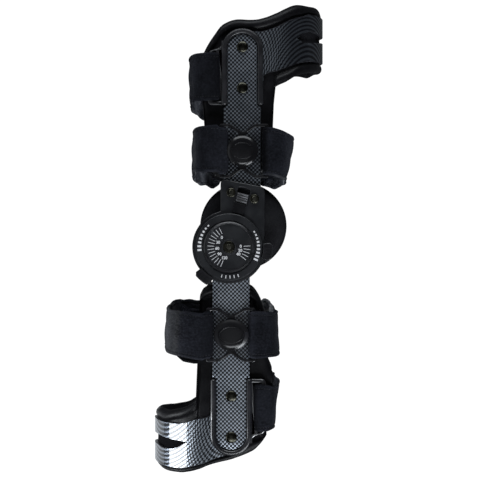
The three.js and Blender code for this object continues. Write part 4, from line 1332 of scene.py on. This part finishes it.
def makeLiners():
    # a paler copy behind the thigh vent as painted light, a dull dark copy behind the calf vent as painted shade
    ventPaints = {"thigh": foamPaintedLight, "calf": foamShade}
    for part, body in bodies.items():
        piece = addPiece(part + "Liner", settle(linerMesh(part), 1), [linerSkin, ventPaints[part]], body, "liner_foam",
                         f"{part}_liner", sharp=60)


makeLiners()
print("liners")


# Round condyle pads, blown up as cloth
condyle = {
    "x": 13.0, "y": 19.0, "radius": 38.0, "low": 48.2, "high": 59.4, "corner": 3.5, "limits": (46.8, 60.0),
    "voxel": 4.0, "pressure": 4.0, "frames": 20, "quality": 5, "cap": 2.6, "piping": (38.2, 38.2, 1.0, 53.6, 96, 8),
}


def swell(holder, rest):
    # the skin blown up by a short cloth run, held to the cap
    cloth = holder.modifiers.new("cloth", "CLOTH")
    cloth.settings.use_pressure = True
    cloth.settings.uniform_pressure_force = condyle["pressure"]
    cloth.settings.effector_weights.gravity = 0
    cloth.settings.quality = condyle["quality"]
    cloth.point_cache.frame_start, cloth.point_cache.frame_end = 1, condyle["frames"]
    for frameNumber in range(1, condyle["frames"] + 1):
        scene.frame_set(frameNumber)
    blown = bakeMesh(holder)
    holder.modifiers.clear()
    scene.frame_set(1)
    moved = np.array([vertex.co for vertex in blown.vertices]) - rest
    length = np.linalg.norm(moved, axis=1, keepdims=True)
    print("condyle pad swelled by up to", round(float(length.max()) * 1000, 2), "mm")
    return rest + moved * np.minimum(1.0, condyle["cap"] / 1000 / np.maximum(length, 1e-9))


def condyleMesh():
    radius, low, high, corner = [condyle[key] for key in ("radius", "low", "high", "corner")]
    profile = softened([(0, low, 0), (radius, low, corner), (radius, high, corner), (0, high, 0)], closed=False)
    puck = turnedMesh("puck", profile, 64)
    puck.transform(Matrix.Scale(0.001, 4))
    holder = newObject("puck", puck)
    remesh = holder.modifiers.new("voxel", "REMESH")
    remesh.mode, remesh.voxel_size = "VOXEL", condyle["voxel"] / 1000
    skin = bakeMesh(holder)
    holder.modifiers.clear()
    holder.data = skin
    rest = np.array([vertex.co for vertex in skin.vertices])
    spots = swell(holder, rest) * 1000
    spots[:, 2] = np.clip(spots[:, 2], *condyle["limits"])
    skin.vertices.foreach_set("co", spots.ravel())
    smooth = holder.modifiers.new("fine", "SUBSURF")
    smooth.levels = smooth.render_levels = 1
    made = bakeMesh(holder)
    bpy.data.objects.remove(holder)
    return closeUp(made)


def makeCondylePads():
    source = condyleMesh()
    for flank, side in flanks.items():
        pad = joinMeshes("condylePad", [source.copy(), ringMesh("piping", *condyle["piping"])])
        piece = addPiece("condylePad" + flank.title(), settle(pad, side, condyle["x"], condyle["y"]), [padSkin],
                         bodies["thigh"], "liner_foam", f"condyle_pad_{flank}", sharp=60)


makeCondylePads()
print("condyle pads")


# Straps: bands that fold round a slot bar on both flanks
# near and far are the edges at the fold and at the middle plane, slant leans them out
# hem, back and glow are painted light and shade: hem and back are how much paler the edges and the hidden half are
# painted, glow is (x, how much paler), below nought for painted shade
# hang is (share of a half, lower edge, upper edge), below nought on the outer half
straps = {
    "thickness": 2.6, "step": 2.6, "seam": 3.5, "stitch": {"Pitch": 2.6, "Length": 1.9, "Thread": 0.22}, "square": 0.6,
    "bound": 0.3, "pull": 0.5, "soft": 0.35, "wave": 0.8, "billow": (0.8, 0.45), "bunch": 0.9, "ridge": (0.9, 1.8),
    "backFrom": 1.25, "tailShade": -0.4, "stitchLift": 0.1,
    "edges": [0.0, 0.4, 1.0, 1.8, 2.7, 3.2, 3.5, 4.0, 5.0],
    "ear": {"under": 61.0, "over": 68.8, "tail": 9.0}, "yoke": {"under": 67.6, "over": 73.4, "tail": 10.0},
    "rows": {
        "thigh_strap_upper": {
            "forward": -1, "fold": -9.2, "reach": -35.4, "anchor": "ear", "near": (132, 175), "far": (131, 174.4),
            "slant": (0.0, 0.0), "lift": 0.0, "lump": -0.5, "tuck": 2.0, "hem": (0.3, 0.5), "back": 1.2,
            "glow": [(-34.4, 0.3), (-31.7, 0.7), (-26.3, 0.0), (-17.2, -0.4), (-10.4, -0.5)],
            "hang": [(-0.5, 0, 0), (-0.2, -1, -1), (0.2, -2, -2), (0.55, -3, -4), (0.64, -7, -4), (0.7, -9, -3),
                     (0.75, -6, -1), (0.8, 0, 0)]},
        "thigh_strap_back": {
            "forward": -1, "fold": -3.7, "reach": -32.6, "anchor": "yoke", "near": (65.2, 107.4), "far": (66.5, 106),
            "slant": (0.6, -0.6), "lift": 2.4, "lump": -0.5, "tuck": 2.8, "bulge": 1.8, "hem": (1.0, 0.3), "back": 1.0,
            "glow": [(-32.6, 0.8), (-30.2, 3.2), (-28.3, 0.7), (-23.0, 0.0), (-4.0, 0.0), (-2.0, 0.4)],
            "hang": [(-0.8, 0, 0), (-0.6, -1, 0), (-0.3, -1.5, -3), (0, -3, -6), (0.4, -5, -7), (0.56, -6, -7),
                     (0.64, -6.5, -6), (0.71, -8.5, -5), (0.76, -5, -3), (0.8, -1, 0), (0.83, 0, 0)]},
        "thigh_strap_front": {
            "forward": 1, "fold": 30.8, "reach": 58.0, "anchor": "yoke", "near": (65, 107.4), "far": (62, 101.5),
            "slant": (-6.5, 0.6), "lift": 0.0, "lump": -0.3, "tuck": 1.0, "hem": (2.4, 0.3), "back": 0.2,
            "glow": [(33.2, -0.7), (34.8, 0.0), (46.0, 0.15), (51.0, 0.65)],
            "hang": [(-0.83, -0.5, 0), (-0.65, -2.2, 0), (-0.45, -1.6, 0), (-0.3, -1, -0.3), (0, -0.5, -0.8),
                     (0.4, -3, -4), (0.58, -5, -5), (0.66, -7, -6), (0.72, -8, -6), (0.8, -6.5, -1), (0.84, -5.8, 0),
                     (0.89, -5.8, 0), (0.95, 0, 0)]},
        "calf_strap_back": {
            "forward": -1, "fold": -15.6, "reach": -58.6, "anchor": "yoke", "near": (-100, -57.6), "far": (-94, -54.5),
            "slant": (0.3, -3.0), "lift": -1.6, "lump": 0.5, "tuck": 2.4, "ridge": -47.2, "tail": 29.0, "drop": -4.2,
            "hem": (1.1, 0.6), "back": 1.1,
            "glow": [(-57.0, 4.2), (-50.4, 1.8), (-47.2, 2.8), (-42.5, 0.65), (-30.7, 0.0), (-15.3, -0.45)],
            "hang": [(-0.3, 0, 0), (0, 1, 1), (0.4, 2, 3), (0.58, 2, 4.5), (0.66, 1, 5), (0.72, 0, 3.5), (0.79, 0, 0)]},
        "calf_strap_front": {
            "forward": 1, "fold": 19.0, "reach": 44.4, "anchor": "yoke", "near": (-100, -57.6), "far": (-98.5, -58.5),
            "slant": (0.5, -1.5), "lift": 0.0, "lump": 0.8, "tuck": 1.5, "hem": (0.4, 0.6), "back": 4.5,
            "glow": [(21.6, 0.45), (24.3, -0.1), (38.0, -0.1), (43.0, -0.35)],
            "hang": [(-0.4, 0, 0), (0, 0, -1), (0.4, 0, 1), (0.57, 0, 3), (0.64, 0, 6), (0.7, 0, 6.5), (0.75, 0, 3),
                     (0.79, 0, 0)]},
        "calf_strap_lower": {
            "forward": 1, "fold": 23.2, "reach": 45.0, "anchor": "ear", "near": (-166, -123.5), "far": (-166, -127),
            "slant": (-5.5, 0.0), "lift": 0.0, "lump": 0.7, "tuck": 1.5, "hem": (0.3, 0.3), "back": 0.0,
            "glow": [(24.0, -0.65), (25.6, 0.0), (44.0, 0.2)],
            "hang": [(-0.4, 0, 0), (0, 1, 1), (0.4, 2, 3), (0.58, 2, 5), (0.68, 1, 4), (0.74, 0, 2), (0.8, 0, 0)]},
    },
}


def strapRoute(row):
    # the band's middle line as (x, w, far), from one tail round the leg to the other
    hold, forward, square = straps[row["anchor"]], row["forward"], straps["square"]
    under, over = hold["under"], hold["over"]
    rise = (over - under) / 2
    start = row["fold"] + forward * rise
    run = abs(row["reach"] - start)
    wide = rise + row.get("bulge", 0.0)
    half = []
    for s in np.linspace(row.get("tail", hold["tail"]), 0, 24):
        sine = (s / run) ** (1 / square) if "tail" in row else 0.0  # a long tail follows the band's own bend
        half.append((start + forward * s, under - over * (1 - (1 - sine ** 2) ** (square / 2)), s / run))
    for a in np.linspace(-math.pi / 2, math.pi / 2, 25)[1:-1]:
        half.append((start - forward * wide * math.cos(a), under + rise + rise * math.sin(a), 0.0))
    for t in np.linspace(0, 1, 240):
        angle = t ** 1.15 * math.pi / 2
        far = math.sin(angle) ** square
        half.append((start + (row["reach"] - start) * far, over * max(0.0, math.cos(angle)) ** square, far))
    line = np.array(half + [(x, -w, far) for x, w, far in reversed(half[:-1])])
    steps = np.concatenate([[0], np.cumsum(np.linalg.norm(np.diff(line[:, :2], axis=0), axis=1))])
    at = np.linspace(0, steps[-1], int(steps[-1] / straps["step"]) | 1)
    return np.stack([np.interp(at, steps, line[:, k]) for k in range(3)], axis=1), steps[-1]


def hump(value, at, wide):
    return math.exp(-((value - at) / wide) ** 2)


def strapMesh(name, row):
    line, length = strapRoute(row)
    ahead = np.gradient(line[:, :2], axis=0)
    ahead /= np.linalg.norm(ahead, axis=1, keepdims=True)
    forward, fold, lump, step, seam = row["forward"], row["fold"], row["lump"], straps["step"], straps["seam"]
    normal = np.stack([-ahead[:, 1], ahead[:, 0]], axis=1) * forward
    wide = row["near"][1] - row["near"][0]
    edges = straps["edges"]
    across = edges + list(np.linspace(8.0, wide - 8.0, 10)) + [wide - d for d in reversed(edges)]
    middle, hang, hangEnds = (len(line) - 1) / 2, easeTable(row["hang"]), [row["hang"][k][0] for k in (0, -1)]
    tail = row.get("tail", straps[row["anchor"]]["tail"]) / length * (len(line) - 1)  # in steps of the line

    def plump(d):
        # bound edge a little thicker, pulled in at the seam, soft in the middle
        near = min(d, wide - d)
        edge = straps["thickness"] / 2 * math.sqrt(max(0.0, 1 - (1 - min(1.0, near / 1.6)) ** 2))
        bound, pulled = straps["bound"] * hump(near, 1.9, 1.0), straps["pull"] * hump(near, seam, 0.5)
        return edge + bound - pulled + straps["soft"] * min(1.0, max(0.0, near - 4) / 9)

    (broad, fine), (thick, run) = straps["billow"], straps["ridge"]

    def bandSpot(i, d, out):
        x, w, far = line[i]
        part = d / wide

        def mix(pair):
            return pair[0] + (pair[1] - pair[0]) * part

        past = (i - middle) / middle  # below 0 on the outer half of the band, above 0 on the hidden half
        y = mix(row["near"]) + (mix(row["far"]) - mix(row["near"])) * max(0.0, far - 0.2) / 0.8
        y += mix(hang(min(max(past, hangEnds[0]), hangEnds[1])))
        y += row["lift"] * min(1.0, far / 0.12) * (past < 0) * min(1.0, -past / 0.3)
        loop = middle - abs(i - middle)
        if loop < tail:
            y += row.get("drop", 0.0) * min(1.0, (tail - loop) * step / 9, loop * step / 8)
        corner = (1 - min(1.0, min(d, wide - d) / 5)) ** 2 * max(0.0, 1 - far / 0.15)
        x += forward * row["tuck"] * corner  # rounded corners at the fold
        slack = max(0.0, far - 0.25) / 0.75
        loose = share((past - 0.4) / 0.12) * share((0.8 - past) / 0.08)  # bunched on the hidden flank
        edge = part if lump > 0 else 1 - part
        y += straps["wave"] * slack * math.sin(i * 0.23 + fold) + lump * loose * edge ** 2 * math.sin(i * 1.05 + fold)
        out += slack * (broad * math.sin(i * 0.17 + y * 0.09) + fine * math.sin(i * 0.37 - y * 0.19))
        out += loose * edge * straps["bunch"] * math.sin(i * 0.8 + y * 0.12)
        if past < 0 and "ridge" in row:
            out += thick * hump(x, row["ridge"], run) * (out > 0)  # a doubled seam across the band
        x += forward * mix(row["slant"]) * far ** 2
        return (x + normal[i][0] * out, y, w + normal[i][1] * out)

    def paintedClothLight(i, d):
        # painted light and shade: paler at the hems and bends, painted shade where the cloth turns down
        if i > middle * straps["backFrom"]:
            return row["back"] * (0.6 + 0.4 * math.sin(0.75 * i + 0.5 * d))  # painted light in slanting folds on the hidden half
        if i < tail:
            return straps["tailShade"]
        low, high = row["hem"]
        return low * hump(d, 1.0, 0.9) + high * hump(wide - d, 1.0, 0.9) + float(readRow(row["glow"], line[i][0]))

    ring = [(d, 1) for d in across] + [(d, -1) for d in reversed(across[1:-1])]
    points, lights, seams = [], [], [[], []]
    for i in range(len(line)):
        points += [bandSpot(i, d, face * plump(d)) for d, face in ring]
        lights += [paintedClothLight(i, d) for d, face in ring]
        for path, d in zip(seams, (seam, wide - seam)):
            path.append(bandSpot(i, d, plump(d) + straps["stitchLift"]))
    count, last = len(ring), (len(line) - 1) * len(ring)
    faces = gridFaces(len(line), count) + [tuple(range(count)), tuple(range(last, last + count))]
    mesh = rawMesh(name, points, faces)
    for index, face in enumerate(mesh.polygons):
        face.material_index = 1 if index % count >= len(across) - 1 else 0
    closeUp(mesh, 0)
    pointValues(mesh, "paintedClothLight", lights)
    return mesh, seams, wide, length


def makeStraps():
    seamPaths = {body: [] for body in bodies.values()}
    for node, row in straps["rows"].items():
        part, place = node.split("_strap_")
        body = bodies[part]
        mesh, seams, wide, length = strapMesh(node, row)
        seamPaths[body] += seams
        # the calf back strap's inner face is a darker copy of the strap's back, as painted shade
        inside = strapShade if node == "calf_strap_back" else strapBack
        piece = addPiece(part + "Strap" + place.title(), settle(mesh, 1), [strapNap, inside], body, "strap_cloth",
                         node, sharp=60)
    for body, paths in seamPaths.items():
        curve = bpy.data.curves.new("seams", "CURVE")
        curve.dimensions = "3D"
        addSplines(curve, paths)
        mesh = runNodes("strapStitches", curve, stitchRun, {**straps["stitch"], "Material": darkThread})
        addPiece(body.split("_")[0] + "Stitches", settle(mesh, 1), [darkThread], body, "strap_cloth", sharp=80)


makeStraps()
print("straps")
